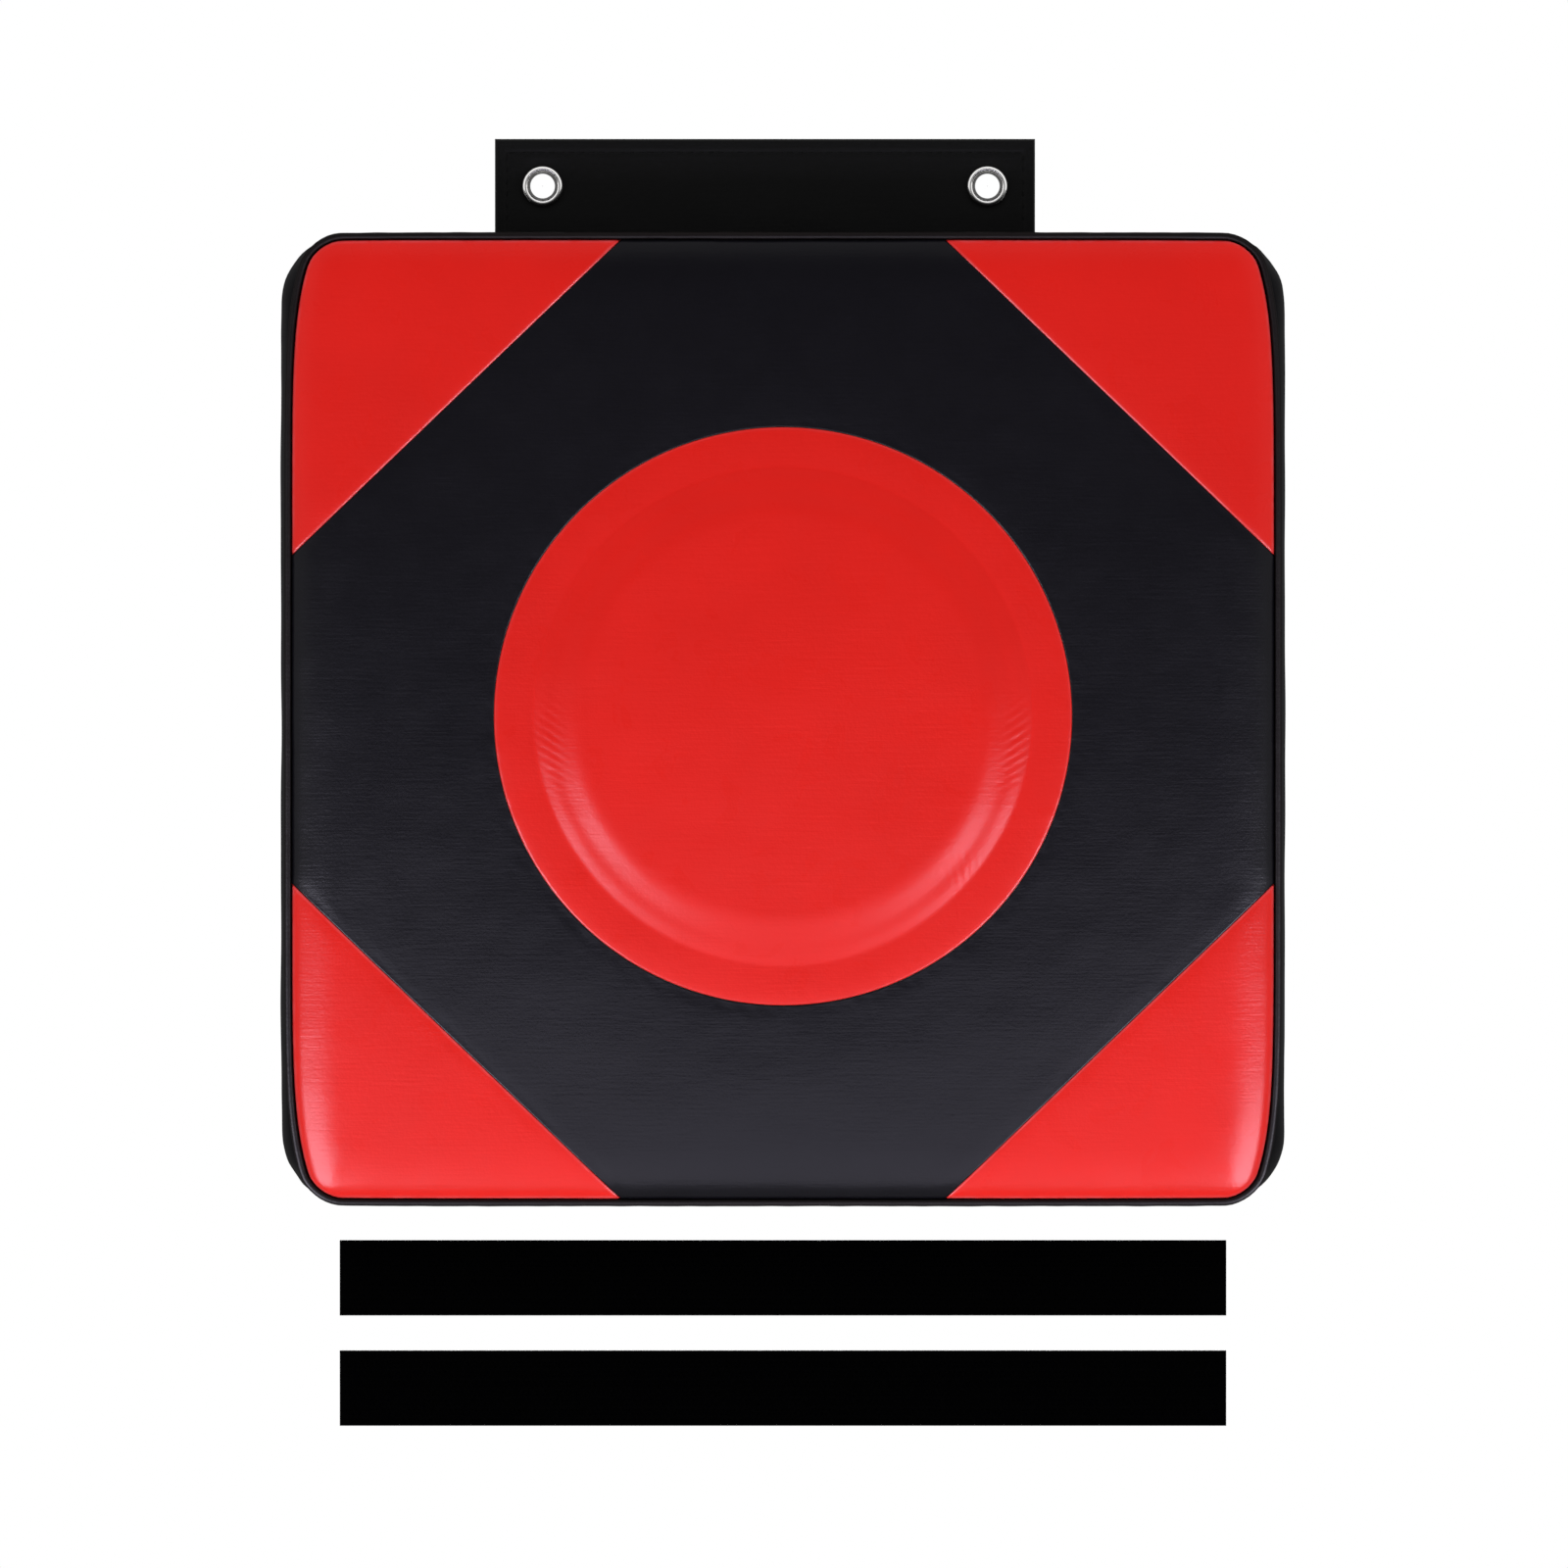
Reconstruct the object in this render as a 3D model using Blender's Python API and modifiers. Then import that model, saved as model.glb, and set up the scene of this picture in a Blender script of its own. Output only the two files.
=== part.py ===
"""Wall punch pad: a square foam pad in a sewn cover, hung by an eyeletted flap and held by tape.

Metres, +Z up. The wall is the plane y = 0 and the pad faces -Y. The origin is on the wall, on the
pad's vertical centre line, at the height of the two eyelets. A height above the wall is called h,
so a point at height h has y = -h.
"""

from math import cos, pi, radians, sin

import bmesh
import bpy

GAP = 0.0003  # left between pieces that touch
LEATHER = 0.0012  # thickness of the cover's coated fabric
ROUND_STEPS = 40  # sides of the turned target pieces
EYE_STEPS = 32  # sides of the eyelets

# Outlines of the cover, about the pad's centre: half width, half height, corner radius, and how
# far the long sides and the ends pull in towards the corners.
PAD_CENTRE_Z = -0.2121
WIDEST = (0.2000, 0.1933, 0.030, 0.0012, 0.0)
SEAM = (0.1953, 0.1907, 0.010, 0.0104, 0.0004)
BOW_POWER = 9
CORNER_STEPS = 6
SIDE_STEPS = 6

# Heights above the wall of the layers, from the back of the pad to its front seam.
BACK_H = 0.0048
FOAM_SPLIT_H = 0.0260
FACE_H = 0.0506
CROWN = 0.0090
CROWN_POWER = 5
CROWN_CELLS = 22

# Piping in the front and the back seam, and the side band between them.
PIPING_RADIUS = 0.0014
PIPING_OFFSET = 0.0016
BAND_OFFSET = 0.0010
BAND_RINGS = 7

# The corner panels are cut off the face by four straight seams: direction and distance of each
# from the pad's centre.
CORNER_SEAM_ANGLE = radians(46.2)
CORNER_SEAM_REACH = 0.1822
CORNER_WEDGE = 0.40

# Round target: outer seam, and the foam disc that lifts its middle.
TARGET_Z = -0.2107
TARGET_RADIUS = 0.1150
DISC_FOOT = 0.0995
DISC_SHOULDER = 0.0800
DISC_RISE = 0.0043
DISC_DOME = 0.0012
DISC_EDGE = 0.0945

# Flap with two eyelets. It folds just above the pad, and its lower end is sewn to the pad's back.
FLAP_CENTRE_X = -0.0072
FLAP_WIDTH = 0.2156
FLAP_TOP_Z = 0.0188
FLAP_CORNER = 0.003
FLAP_BACK_H = 0.0016
FLAP_FRONT_H = 0.0044
FOLD_Z = -0.0175
FOLD_CLEARANCE = 0.0016
FLAP_END_Z = -0.0360
EYELET_SPREAD = 0.0888  # from the flap's centre line to each eyelet
EYELET_HOLE = 0.0050
EYELET_BARREL = 0.0056
EYELET_FLANGE = 0.0080
EYELET_FLANGE_H = 0.0047
EYELET_CROWN_H = 0.0061
WASHER_H = 0.0013

# Hook-and-loop tape: two loop tapes sewn to the pad's back, and two self-adhesive hook strips.
TAPE_LENGTH = 0.3543
TAPE_WIDTH = 0.0301
LOOP_BACK_H = 0.0030
LOOP_FRONT_H = 0.0045
LOOP_CENTRES_Z = {"upper": -0.0950, "lower": -0.3550}
HOOK_BACK_H = 0.0011
HOOK_FRONT_H = 0.0026
ADHESIVE_H = 0.0008
STRIP_CENTRES_Z = {"upper": -0.4362, "lower": -0.4803}

# Colour, roughness and metallic value of each finish.
RED_LEATHER = ((0.70, 0.016, 0.016), 0.38, 0.0)
BLACK_LEATHER = ((0.014, 0.014, 0.016), 0.40, 0.0)
FOAM_FIRM = ((0.16, 0.16, 0.17), 0.95, 0.0)
FOAM_SOFT = ((0.72, 0.70, 0.62), 0.95, 0.0)
LOOP_TAPE = ((0.010, 0.010, 0.011), 0.95, 0.0)
HOOK_TAPE = ((0.006, 0.006, 0.007), 0.70, 0.0)
ADHESIVE = ((0.62, 0.60, 0.52), 0.50, 0.0)
NICKEL = ((0.78, 0.78, 0.78), 0.18, 1.0)


def new_collection(name, hidden=False):
    collection = bpy.data.collections.new(name)
    collection.hide_render = hidden
    bpy.context.scene.collection.children.link(collection)
    return collection


def clear_scene():
    for obj in list(bpy.data.objects):
        bpy.data.objects.remove(obj, do_unlink=True)


def add(collection, obj, finish=None):
    """Links an object, with a material of its own where it has a finish."""
    collection.objects.link(obj)
    if finish:
        colour, roughness, metallic = finish
        material = bpy.data.materials.new(obj.name)
        material.use_nodes = True
        shader = material.node_tree.nodes["Principled BSDF"]
        shader.inputs["Base Color"].default_value = (*colour, 1.0)
        shader.inputs["Roughness"].default_value = roughness
        shader.inputs["Metallic"].default_value = metallic
        obj.data.materials.append(material)
    else:
        obj.hide_render = True
        obj.display_type = "WIRE"
    return obj


def outline(shape, grow=0.0):
    """Points of a rounded rectangle with pulled-in corners, anticlockwise in x and z."""
    half_x, half_z, radius, bow_x, bow_z = shape
    half_x, half_z, radius = half_x + grow, half_z + grow, radius + grow
    arcs = []
    for corner, (side_x, side_z) in enumerate(((1, 1), (-1, 1), (-1, -1), (1, -1))):
        centre_x, centre_z = side_x * (half_x - radius), side_z * (half_z - radius)
        for step in range(CORNER_STEPS + 1):
            angle = (corner + step / CORNER_STEPS) * pi / 2
            arcs.append((centre_x + radius * cos(angle), centre_z + radius * sin(angle)))
    points = []
    for index, (x, z) in enumerate(arcs):
        points.append((x, z))
        if index % (CORNER_STEPS + 1) == CORNER_STEPS:
            next_x, next_z = arcs[(index + 1) % len(arcs)]
            for step in range(1, SIDE_STEPS):
                share = sin(step / SIDE_STEPS * pi / 2) ** 2
                points.append((x + (next_x - x) * share, z + (next_z - z) * share))
    return [
        (
            x * (1 - bow_x / half_x * abs(z / half_z) ** BOW_POWER),
            z * (1 - bow_z / half_z * abs(x / half_x) ** BOW_POWER),
        )
        for x, z in points
    ]


def circle(centre_x, centre_z, radius, steps):
    angles = [2 * pi * step / steps for step in range(steps)]
    return [(centre_x + radius * cos(a), centre_z + radius * sin(a)) for a in angles]


def rectangle(half_x, low_z, high_z, corner, centre_x=0.0, steps=4):
    """Points of a rectangle with small round corners."""
    points = []
    for index, (side_x, side_z) in enumerate(((1, 1), (-1, 1), (-1, -1), (1, -1))):
        centre = (
            centre_x + side_x * (half_x - corner),
            high_z - corner if side_z > 0 else low_z + corner,
        )
        for step in range(steps + 1):
            angle = (index + step / steps) * pi / 2
            points.append((centre[0] + corner * cos(angle), centre[1] + corner * sin(angle)))
    return points


def curve_object(name, loops, at_h, at_z, flat):
    """A curve through closed loops of points, standing in the plane at height at_h."""
    data = bpy.data.curves.new(name, "CURVE")
    data.dimensions = "2D" if flat else "3D"
    for loop in loops:
        spline = data.splines.new("POLY")
        spline.points.add(len(loop) - 1)
        for point, (x, z) in zip(spline.points, loop):
            point.co = (x, z, 0.0, 1.0)
        spline.use_cyclic_u = True
    obj = bpy.data.objects.new(name, data)
    obj.location = (0.0, -at_h, at_z)
    obj.rotation_euler = (pi / 2, 0.0, 0.0)
    return obj


def flat_piece(name, loops, low_h, high_h, at_z=0.0):
    """A sheet or slab cut to closed outlines, between two heights above the wall."""
    obj = curve_object(name, loops, (low_h + high_h) / 2, at_z, flat=True)
    obj.data.fill_mode = "BOTH"
    obj.data.extrude = (high_h - low_h) / 2
    return obj


def as_mesh(collection, obj):
    """The same shape as a closed mesh, for Booleans."""
    collection.objects.link(obj)
    bpy.context.view_layer.update()
    graph = bpy.context.evaluated_depsgraph_get()
    mesh = bpy.data.meshes.new_from_object(obj.evaluated_get(graph))
    bm = bmesh.new()
    bm.from_mesh(mesh)
    bmesh.ops.remove_doubles(bm, verts=bm.verts, dist=1e-6)
    bmesh.ops.recalc_face_normals(bm, faces=bm.faces)
    bm.to_mesh(mesh)
    bm.free()
    made = bpy.data.objects.new(obj.name + "_solid", mesh)
    made.matrix_world = obj.matrix_world
    bpy.data.objects.remove(obj, do_unlink=True)
    return add(collection, made)


def boolean(obj, operation, cutter):
    modifier = obj.modifiers.new(cutter.name, "BOOLEAN")
    modifier.operation = operation
    modifier.object = cutter


def crown(x, z):
    """How far the stuffed face stands out from its seams at a point about the pad's centre."""
    across = 1 - abs(x / SEAM[0]) ** CROWN_POWER
    along = 1 - abs(z / SEAM[1]) ** CROWN_POWER
    return CROWN * across * along


def crowned_sheet(name, below=0.0, thickness=LEATHER):
    """The face's surface, lowered by a distance and thickened towards the wall."""
    bm = bmesh.new()
    bmesh.ops.create_grid(bm, x_segments=CROWN_CELLS, y_segments=CROWN_CELLS, size=WIDEST[0])
    for vertex in bm.verts:
        x, z = vertex.co.x, vertex.co.y
        vertex.co = (x, -(FACE_H + crown(x, z) - below), z)
    mesh = bpy.data.meshes.new(name)
    bm.to_mesh(mesh)
    bm.free()
    mesh.shade_smooth()
    obj = bpy.data.objects.new(name, mesh)
    obj.location.z = PAD_CENTRE_Z
    shell = obj.modifiers.new("thickness", "SOLIDIFY")
    shell.thickness = thickness
    shell.offset = -1.0
    return obj


def turned(name, profile, at_x, at_z, steps, closed=False):
    """A profile of (radius, h) points turned about an axis square to the wall."""
    mesh = bpy.data.meshes.new(name)
    edges = [(index, index + 1) for index in range(len(profile) - 1)]
    if closed:
        edges.append((len(profile) - 1, 0))
    mesh.from_pydata([(radius, 0.0, h) for radius, h in profile], edges, [])
    obj = bpy.data.objects.new(name, mesh)
    obj.location = (at_x, 0.0, at_z)
    obj.rotation_euler = (pi / 2, 0.0, 0.0)
    screw = obj.modifiers.new("turn", "SCREW")
    screw.steps = steps
    screw.render_steps = steps
    screw.use_merge_vertices = True
    screw.merge_threshold = 0.00001
    screw.use_smooth_shade = True
    return obj


def slab(name, half_x, half_z, low_h, high_h, at_z, bevel=0.0003):
    """A thin box between two heights above the wall, with its edges eased."""
    bm = bmesh.new()
    bmesh.ops.create_cube(bm, size=1.0)
    size = (2 * half_x, high_h - low_h, 2 * half_z)
    bmesh.ops.scale(bm, vec=size, verts=bm.verts)
    mesh = bpy.data.meshes.new(name)
    bm.to_mesh(mesh)
    bm.free()
    obj = bpy.data.objects.new(name, mesh)
    obj.location = (0.0, -(low_h + high_h) / 2, at_z)
    eased = obj.modifiers.new("eased", "BEVEL")
    eased.width = bevel
    eased.segments = 1
    return obj


def disc_rise(radius):
    """How far the foam disc lifts the target above its flat border."""
    share = min(1.0, max(0.0, (DISC_FOOT - radius) / (DISC_FOOT - DISC_SHOULDER)))
    dome = max(0.0, 1 - (radius / DISC_SHOULDER) ** 2)
    return DISC_RISE * sin(share * pi / 2) + DISC_DOME * dome


def build_face(parts, cutters):
    """The black middle panel and the four red corner panels, all cut from the crowned face."""
    face = flat_piece("face_outline", [outline(SEAM)], 0.0, 0.1, PAD_CENTRE_Z)
    face = as_mesh(cutters, face)
    hole = flat_piece(
        "target_hole", [circle(0.0, TARGET_Z, TARGET_RADIUS + GAP, ROUND_STEPS)], 0.0, 0.1
    )
    hole = as_mesh(cutters, hole)
    panel = add(parts, crowned_sheet("black_face_panel"), BLACK_LEATHER)
    boolean(panel, "INTERSECT", face)
    boolean(panel, "DIFFERENCE", hole)
    corners = {
        "top_right": CORNER_SEAM_ANGLE,
        "top_left": pi - CORNER_SEAM_ANGLE,
        "bottom_left": pi + CORNER_SEAM_ANGLE,
        "bottom_right": -CORNER_SEAM_ANGLE,
    }
    for corner, angle in corners.items():
        red = add(parts, crowned_sheet("red_corner_panel_" + corner), RED_LEATHER)
        boolean(red, "INTERSECT", face)
        for piece, operation, reach in (
            (red, "INTERSECT", CORNER_SEAM_REACH),
            (panel, "DIFFERENCE", CORNER_SEAM_REACH - GAP),
        ):
            name = f"{corner}_{operation.lower()}_wedge"
            wedge = corner_wedge(name, angle, reach)
            boolean(piece, operation, add(cutters, wedge))


def corner_wedge(name, angle, reach):
    """A block that holds everything beyond one corner seam."""
    bm = bmesh.new()
    bmesh.ops.create_cube(bm, size=CORNER_WEDGE)
    mesh = bpy.data.meshes.new(name)
    bm.to_mesh(mesh)
    bm.free()
    wedge = bpy.data.objects.new(name, mesh)
    centre = reach + CORNER_WEDGE / 2
    wedge.location = (centre * cos(angle), 0.0, PAD_CENTRE_Z + centre * sin(angle))
    wedge.rotation_euler = (0.0, -angle, 0.0)
    return wedge


def build_target(parts):
    """The red target panel, and the foam disc that lifts its middle."""
    border_h = FACE_H + CROWN - 0.0001
    radii = [DISC_SHOULDER * share for share in (0.0, 0.35, 0.6, 0.8, 0.92)]
    radii += [DISC_SHOULDER + (DISC_FOOT - DISC_SHOULDER) * step / 6 for step in range(7)]
    profile = [(radius, border_h + disc_rise(radius)) for radius in radii]
    panel = turned(
        "red_target_panel",
        profile + [(TARGET_RADIUS, border_h)],
        0.0,
        TARGET_Z,
        ROUND_STEPS,
    )
    shell = panel.modifiers.new("thickness", "SOLIDIFY")
    shell.thickness = LEATHER
    shell.offset = -1.0
    add(parts, panel, RED_LEATHER)
    under = LEATHER + GAP
    top = [
        (radius * DISC_EDGE / DISC_FOOT, border_h + disc_rise(radius) - under)
        for radius in radii
        if disc_rise(radius) > DISC_RISE / 3
    ]
    base_h = border_h - LEATHER + GAP
    disc = turned(
        "target_foam_disc",
        top + [(top[-1][0], base_h), (0.0, base_h)],
        0.0,
        TARGET_Z,
        ROUND_STEPS,
    )
    add(parts, disc, FOAM_SOFT)


def build_filling(parts, cutters):
    """A firm base slab against the back panel, and a softer crowned slab over it."""
    foam_outline = outline(SEAM, -LEATHER)
    base = flat_piece(
        "base_foam",
        [foam_outline],
        BACK_H + LEATHER + GAP,
        FOAM_SPLIT_H,
        PAD_CENTRE_Z,
    )
    add(parts, base, FOAM_FIRM)
    face_foam = crowned_sheet("face_foam", LEATHER + 2 * GAP, 2 * FACE_H)
    limits = flat_piece(
        "face_foam_outline", [foam_outline], FOAM_SPLIT_H + GAP, 0.1, PAD_CENTRE_Z
    )
    boolean(face_foam, "INTERSECT", as_mesh(cutters, limits))
    add(parts, face_foam, FOAM_SOFT)


def build_sides(parts):
    """The back panel, the two pipings and the side band that bulges between them."""
    back = flat_piece("back_panel", [outline(SEAM)], BACK_H, BACK_H + LEATHER, PAD_CENTRE_Z)
    add(parts, back, BLACK_LEATHER)
    seams = {
        "front_piping": FACE_H - LEATHER / 2,
        "back_piping": BACK_H + PIPING_RADIUS,
    }
    for name, h in seams.items():
        piping = curve_object(name, [outline(SEAM, PIPING_OFFSET)], h, PAD_CENTRE_Z, flat=False)
        piping.data.bevel_depth = PIPING_RADIUS
        piping.data.bevel_resolution = 2
        add(parts, piping, BLACK_LEATHER)
    low_h = seams["back_piping"] + PIPING_RADIUS + GAP
    high_h = seams["front_piping"] - PIPING_RADIUS - GAP
    add(parts, side_band("gusset", low_h, high_h), BLACK_LEATHER)


def side_band(name, low_h, high_h):
    """A band lofted from the back seam's outline, out to the widest one and in to the front's."""
    seam, widest = outline(SEAM, BAND_OFFSET), outline(WIDEST)
    bm = bmesh.new()
    rings = []
    for ring in range(BAND_RINGS):
        share = ring / (BAND_RINGS - 1)
        bulge = sin(share * pi) ** 0.6
        y = -(low_h + (high_h - low_h) * share)
        corners = [
            (x + (wide_x - x) * bulge, y, z + (wide_z - z) * bulge)
            for (x, z), (wide_x, wide_z) in zip(seam, widest)
        ]
        rings.append([bm.verts.new(corner) for corner in corners])
    for back, front in zip(rings, rings[1:]):
        for index in range(len(seam)):
            after = (index + 1) % len(seam)
            bm.faces.new((back[index], back[after], front[after], front[index]))
    mesh = bpy.data.meshes.new(name)
    bm.to_mesh(mesh)
    bm.free()
    mesh.shade_smooth()
    obj = bpy.data.objects.new(name, mesh)
    obj.location.z = PAD_CENTRE_Z
    shell = obj.modifiers.new("thickness", "SOLIDIFY")
    shell.thickness = LEATHER
    shell.offset = -1.0
    return obj


def build_flap(parts):
    """The hanging flap, cut at its fold, with an eyelet and a washer at each side."""
    half = FLAP_WIDTH / 2
    upper_end = FOLD_Z + FOLD_CLEARANCE
    sheet = rectangle(half, upper_end, FLAP_TOP_Z, FLAP_CORNER, FLAP_CENTRE_X)
    eyelets = {"left": FLAP_CENTRE_X - EYELET_SPREAD, "right": FLAP_CENTRE_X + EYELET_SPREAD}
    holes = [circle(x, 0.0, EYELET_BARREL + GAP, EYE_STEPS) for x in eyelets.values()]
    add(parts, flat_piece("flap_upper", [sheet, *holes], FLAP_BACK_H, FLAP_FRONT_H), BLACK_LEATHER)
    tab = rectangle(half, FLAP_END_Z, FOLD_Z - FOLD_CLEARANCE, FLAP_CORNER / 3, FLAP_CENTRE_X)
    tab = flat_piece("flap_tab", [tab], FLAP_BACK_H, FLAP_FRONT_H)
    add(parts, tab, BLACK_LEATHER)
    for side, x in eyelets.items():
        eyelet = turned("grommet_" + side, eyelet_profile(), x, 0.0, EYE_STEPS, closed=True)
        add(parts, eyelet, NICKEL)
        washer = turned("grommet_washer_" + side, washer_profile(), x, 0.0, EYE_STEPS, closed=True)
        add(parts, washer, NICKEL)


def eyelet_profile():
    """Section of an eyelet: a rolled flange in front of the flap and a barrel through it."""
    end_h = GAP
    middle = (EYELET_HOLE + EYELET_FLANGE) / 2
    half = (EYELET_FLANGE - EYELET_HOLE) / 2
    rolled = [
        (middle + half * cos(angle), EYELET_FLANGE_H + (EYELET_CROWN_H - EYELET_FLANGE_H) * sin(angle))
        for angle in (radians(degree) for degree in (180, 150, 120, 90, 60, 30, 0))
    ]
    return rolled + [(EYELET_BARREL, EYELET_FLANGE_H), (EYELET_BARREL, end_h), (EYELET_HOLE, end_h)]


def washer_profile():
    """Section of the flat washer that the eyelet's barrel passes through, against the wall."""
    bore = EYELET_BARREL + GAP
    return [
        (EYELET_FLANGE, WASHER_H * 0.7),
        (EYELET_FLANGE, 0.0),
        (bore, 0.0),
        (bore, WASHER_H),
        (EYELET_FLANGE - WASHER_H * 0.3, WASHER_H),
    ]


def build_tapes(parts):
    """Loop tapes on the pad's back, and the adhesive-backed hook strips, apart below the pad."""
    half_x, half_z = TAPE_LENGTH / 2, TAPE_WIDTH / 2
    for place, z in LOOP_CENTRES_Z.items():
        loop = slab("loop_tape_" + place, half_x, half_z, LOOP_BACK_H, LOOP_FRONT_H, z)
        add(parts, loop, LOOP_TAPE)
    for place, z in STRIP_CENTRES_Z.items():
        hook = slab("hook_strip_" + place, half_x, half_z, HOOK_BACK_H, HOOK_FRONT_H, z)
        add(parts, hook, HOOK_TAPE)
        glue = slab("strip_adhesive_" + place, half_x, half_z, 0.0, ADHESIVE_H, z, bevel=0.0001)
        add(parts, glue, ADHESIVE)


def hang_on(pivot, parts):
    """Parents every piece of the pad to the empty on the flap's fold line."""
    fixed = ("flap_upper", "grommet", "hook_strip", "strip_adhesive")
    bpy.context.view_layer.update()
    for obj in parts.objects:
        if obj.parent is None and obj is not pivot and not obj.name.startswith(fixed):
            obj.parent = pivot
            obj.matrix_parent_inverse = pivot.matrix_world.inverted()


def main():
    clear_scene()
    parts = new_collection("wall_punch_pad")
    cutters = new_collection("cutters", hidden=True)
    pivot = bpy.data.objects.new("flap_fold", None)
    pivot.location = (0.0, -(FLAP_BACK_H + FLAP_FRONT_H) / 2, FOLD_Z)
    parts.objects.link(pivot)
    build_face(parts, cutters)
    build_target(parts)
    build_filling(parts, cutters)
    build_sides(parts)
    build_flap(parts)
    build_tapes(parts)
    hang_on(pivot, parts)


main()
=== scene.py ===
"""Looks of the wall punch pad: its sewn cover, flap, eyelets and tapes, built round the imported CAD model.

Metres, in the CAD's frame: the wall is y = 0, and a height h above it is y = -h. The cover is worked out in
x and z about the pad's centre, and each panel is a lofted sheet that follows one height function.
"""

from math import cos, pi, radians, sin

import bmesh
import bpy
import numpy as np
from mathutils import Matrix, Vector, kdtree


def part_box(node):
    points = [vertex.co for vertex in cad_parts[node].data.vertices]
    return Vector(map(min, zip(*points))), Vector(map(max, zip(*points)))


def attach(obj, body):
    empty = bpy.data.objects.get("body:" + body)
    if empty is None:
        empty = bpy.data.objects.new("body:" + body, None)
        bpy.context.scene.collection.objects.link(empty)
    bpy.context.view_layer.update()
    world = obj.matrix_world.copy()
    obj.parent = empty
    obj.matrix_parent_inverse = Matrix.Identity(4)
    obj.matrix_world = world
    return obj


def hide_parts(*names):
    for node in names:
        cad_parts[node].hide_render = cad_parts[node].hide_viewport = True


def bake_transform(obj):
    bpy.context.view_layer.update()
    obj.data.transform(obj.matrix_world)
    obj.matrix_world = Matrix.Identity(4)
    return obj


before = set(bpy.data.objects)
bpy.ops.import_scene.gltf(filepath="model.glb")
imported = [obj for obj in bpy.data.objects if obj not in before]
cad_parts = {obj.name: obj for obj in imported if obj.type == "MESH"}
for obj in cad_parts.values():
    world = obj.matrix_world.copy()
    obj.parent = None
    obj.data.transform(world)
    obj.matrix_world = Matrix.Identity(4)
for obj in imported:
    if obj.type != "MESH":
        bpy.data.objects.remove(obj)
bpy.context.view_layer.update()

# ---- sizes, from the frame where it has them
SEAM_LOW, SEAM_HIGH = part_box("back_panel")
WIDE_LOW, WIDE_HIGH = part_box("gusset")
TARGET_LOW, TARGET_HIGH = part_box("red_target_panel")
PAD_Z = (SEAM_LOW.z + SEAM_HIGH.z) / 2
SEAM_X, SEAM_Z = SEAM_HIGH.x, (SEAM_HIGH.z - SEAM_LOW.z) / 2
WIDE_X, WIDE_Z = WIDE_HIGH.x, (WIDE_HIGH.z - WIDE_LOW.z) / 2
BACK_H = -SEAM_HIGH.y
FRONT_PIPING_H = -sum(corner.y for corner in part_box("front_piping")) / 2
BACK_PIPING_H = -sum(corner.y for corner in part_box("back_piping")) / 2
TARGET_RADIUS = TARGET_HIGH.x
TARGET_Z = (TARGET_LOW.z + TARGET_HIGH.z) / 2 - PAD_Z
DISC_TOP_H = -TARGET_LOW.y
LEATHER = 0.0012

# Outlines: corner radius, and how far sides and ends pull in towards the corners.
SEAM_CORNER, SEAM_BOW_X, SEAM_BOW_Z = 0.010, 0.0104, 0.0004
WIDE_CORNER, WIDE_BOW_X, WIDE_BOW_Z = 0.0272, 0.0012, 0.0
BOW_POWER = 9
CORNER_ANGLES = [turn + way * radians(46.2) for turn, way in ((0, 1), (pi, -1), (pi, 1), (2 * pi, -1))]
CORNER_SEAM_REACH = 0.1822
SEAM_SPLIT = 0.00006  # half the gap between two panels in their seam

# The face: rounded edge, crown, the valleys beside seams, the turned-in edges, and the raised disc.
EDGE_WIDTH, EDGE_RISE = 0.0190, 0.0044
SHOULDER_POWER, SHOULDER = 23, 0.0023
CROWN_POWER, CROWN = 2, 0.0028
VALLEY_DEPTH, VALLEY_WIDTH = 0.00018, 0.0040
LIP_DEPTH, LIP_WIDTH = 0.0008, 0.0011
BLACK_LIP, TARGET_LIP = 0.4, 0.7  # shares of that size
RED_PROUD = 0.0004
# Paler turned edges: partly worn coating, partly a painted highlight where the rolled lip would catch light.
WEAR_SHEEN_AT, WEAR_SHEEN_WIDTH = 0.0006, 0.0005
TARGET_WEAR_SHEEN = 0.3
# The raised disc: a soft shoulder, a side that dips a little half-way, and a crease at the border.
DISC_DOME = 0.0010
DISC_SHOULDER = (0.0775, 0.0866)
DISC_SIDE_DIP, DISC_DIP_AT, DISC_DIP_WIDTH = 0.32, 0.0927, 0.0022
DISC_CREASE = (0.0981, 0.0998)
# Gathers on the disc's side: direction, spread, slant and height of each group, and their places and pitch.
PUCKERS = ((pi + 0.11, 0.17, 1.0, 0.00012), (-0.11, 0.16, -1.0, 0.00012), (-0.72, 0.09, 1.0, 0.00006))
PUCKER_AT, PUCKER_REACH, PUCKER_PITCH = 0.0935, 0.0050, 0.0040
DISC_DROP = 0.0009  # how much lower the cover's disc is than its foam's greatest height
PIPING_RADIUS = 0.0014
PIPING_OFFSET = 0.0016
BAND_OFFSET = 0.0010

# Cloth settings for the stuffed cover.
CLOTH_VOXEL, CLOTH_PRESSURE, CLOTH_FRAMES = 0.005, 4.0, 20
CLOTH_STRETCH, CLOTH_BEND = 25, 3
CLOTH_CAP = 0.0024
CLOTH_SHARE = 0.35  # how much of the billow the dense foam underneath lets the cover keep
PINNED_WITHIN = 0.004

STITCH_LENGTH, STITCH_GAP, STITCH_WIDTH = 0.0030, 0.0009, 0.00050
STITCH_LIFT, STITCH_SINK = 0.25, 0.35  # shares of its width that its middle stands up and its ends dive


# ---- numbers
def ripple(x, z, wavelength, seed, waves=6):
    """Smooth irregular waves, about -1 to 1, the same each run."""
    rng = np.random.default_rng(seed)
    total = np.zeros_like(x, dtype=float)
    angles, phases, stretches = (rng.uniform(*span, waves) for span in ((0, 2 * pi), (0, 2 * pi), (0.7, 1.5)))
    for angle, phase, stretch in zip(angles, phases, stretches):
        total += np.sin(2 * pi * (x * cos(angle) + z * sin(angle)) / (wavelength * stretch) + phase)
    return total / waves**0.5 / 1.4


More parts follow.
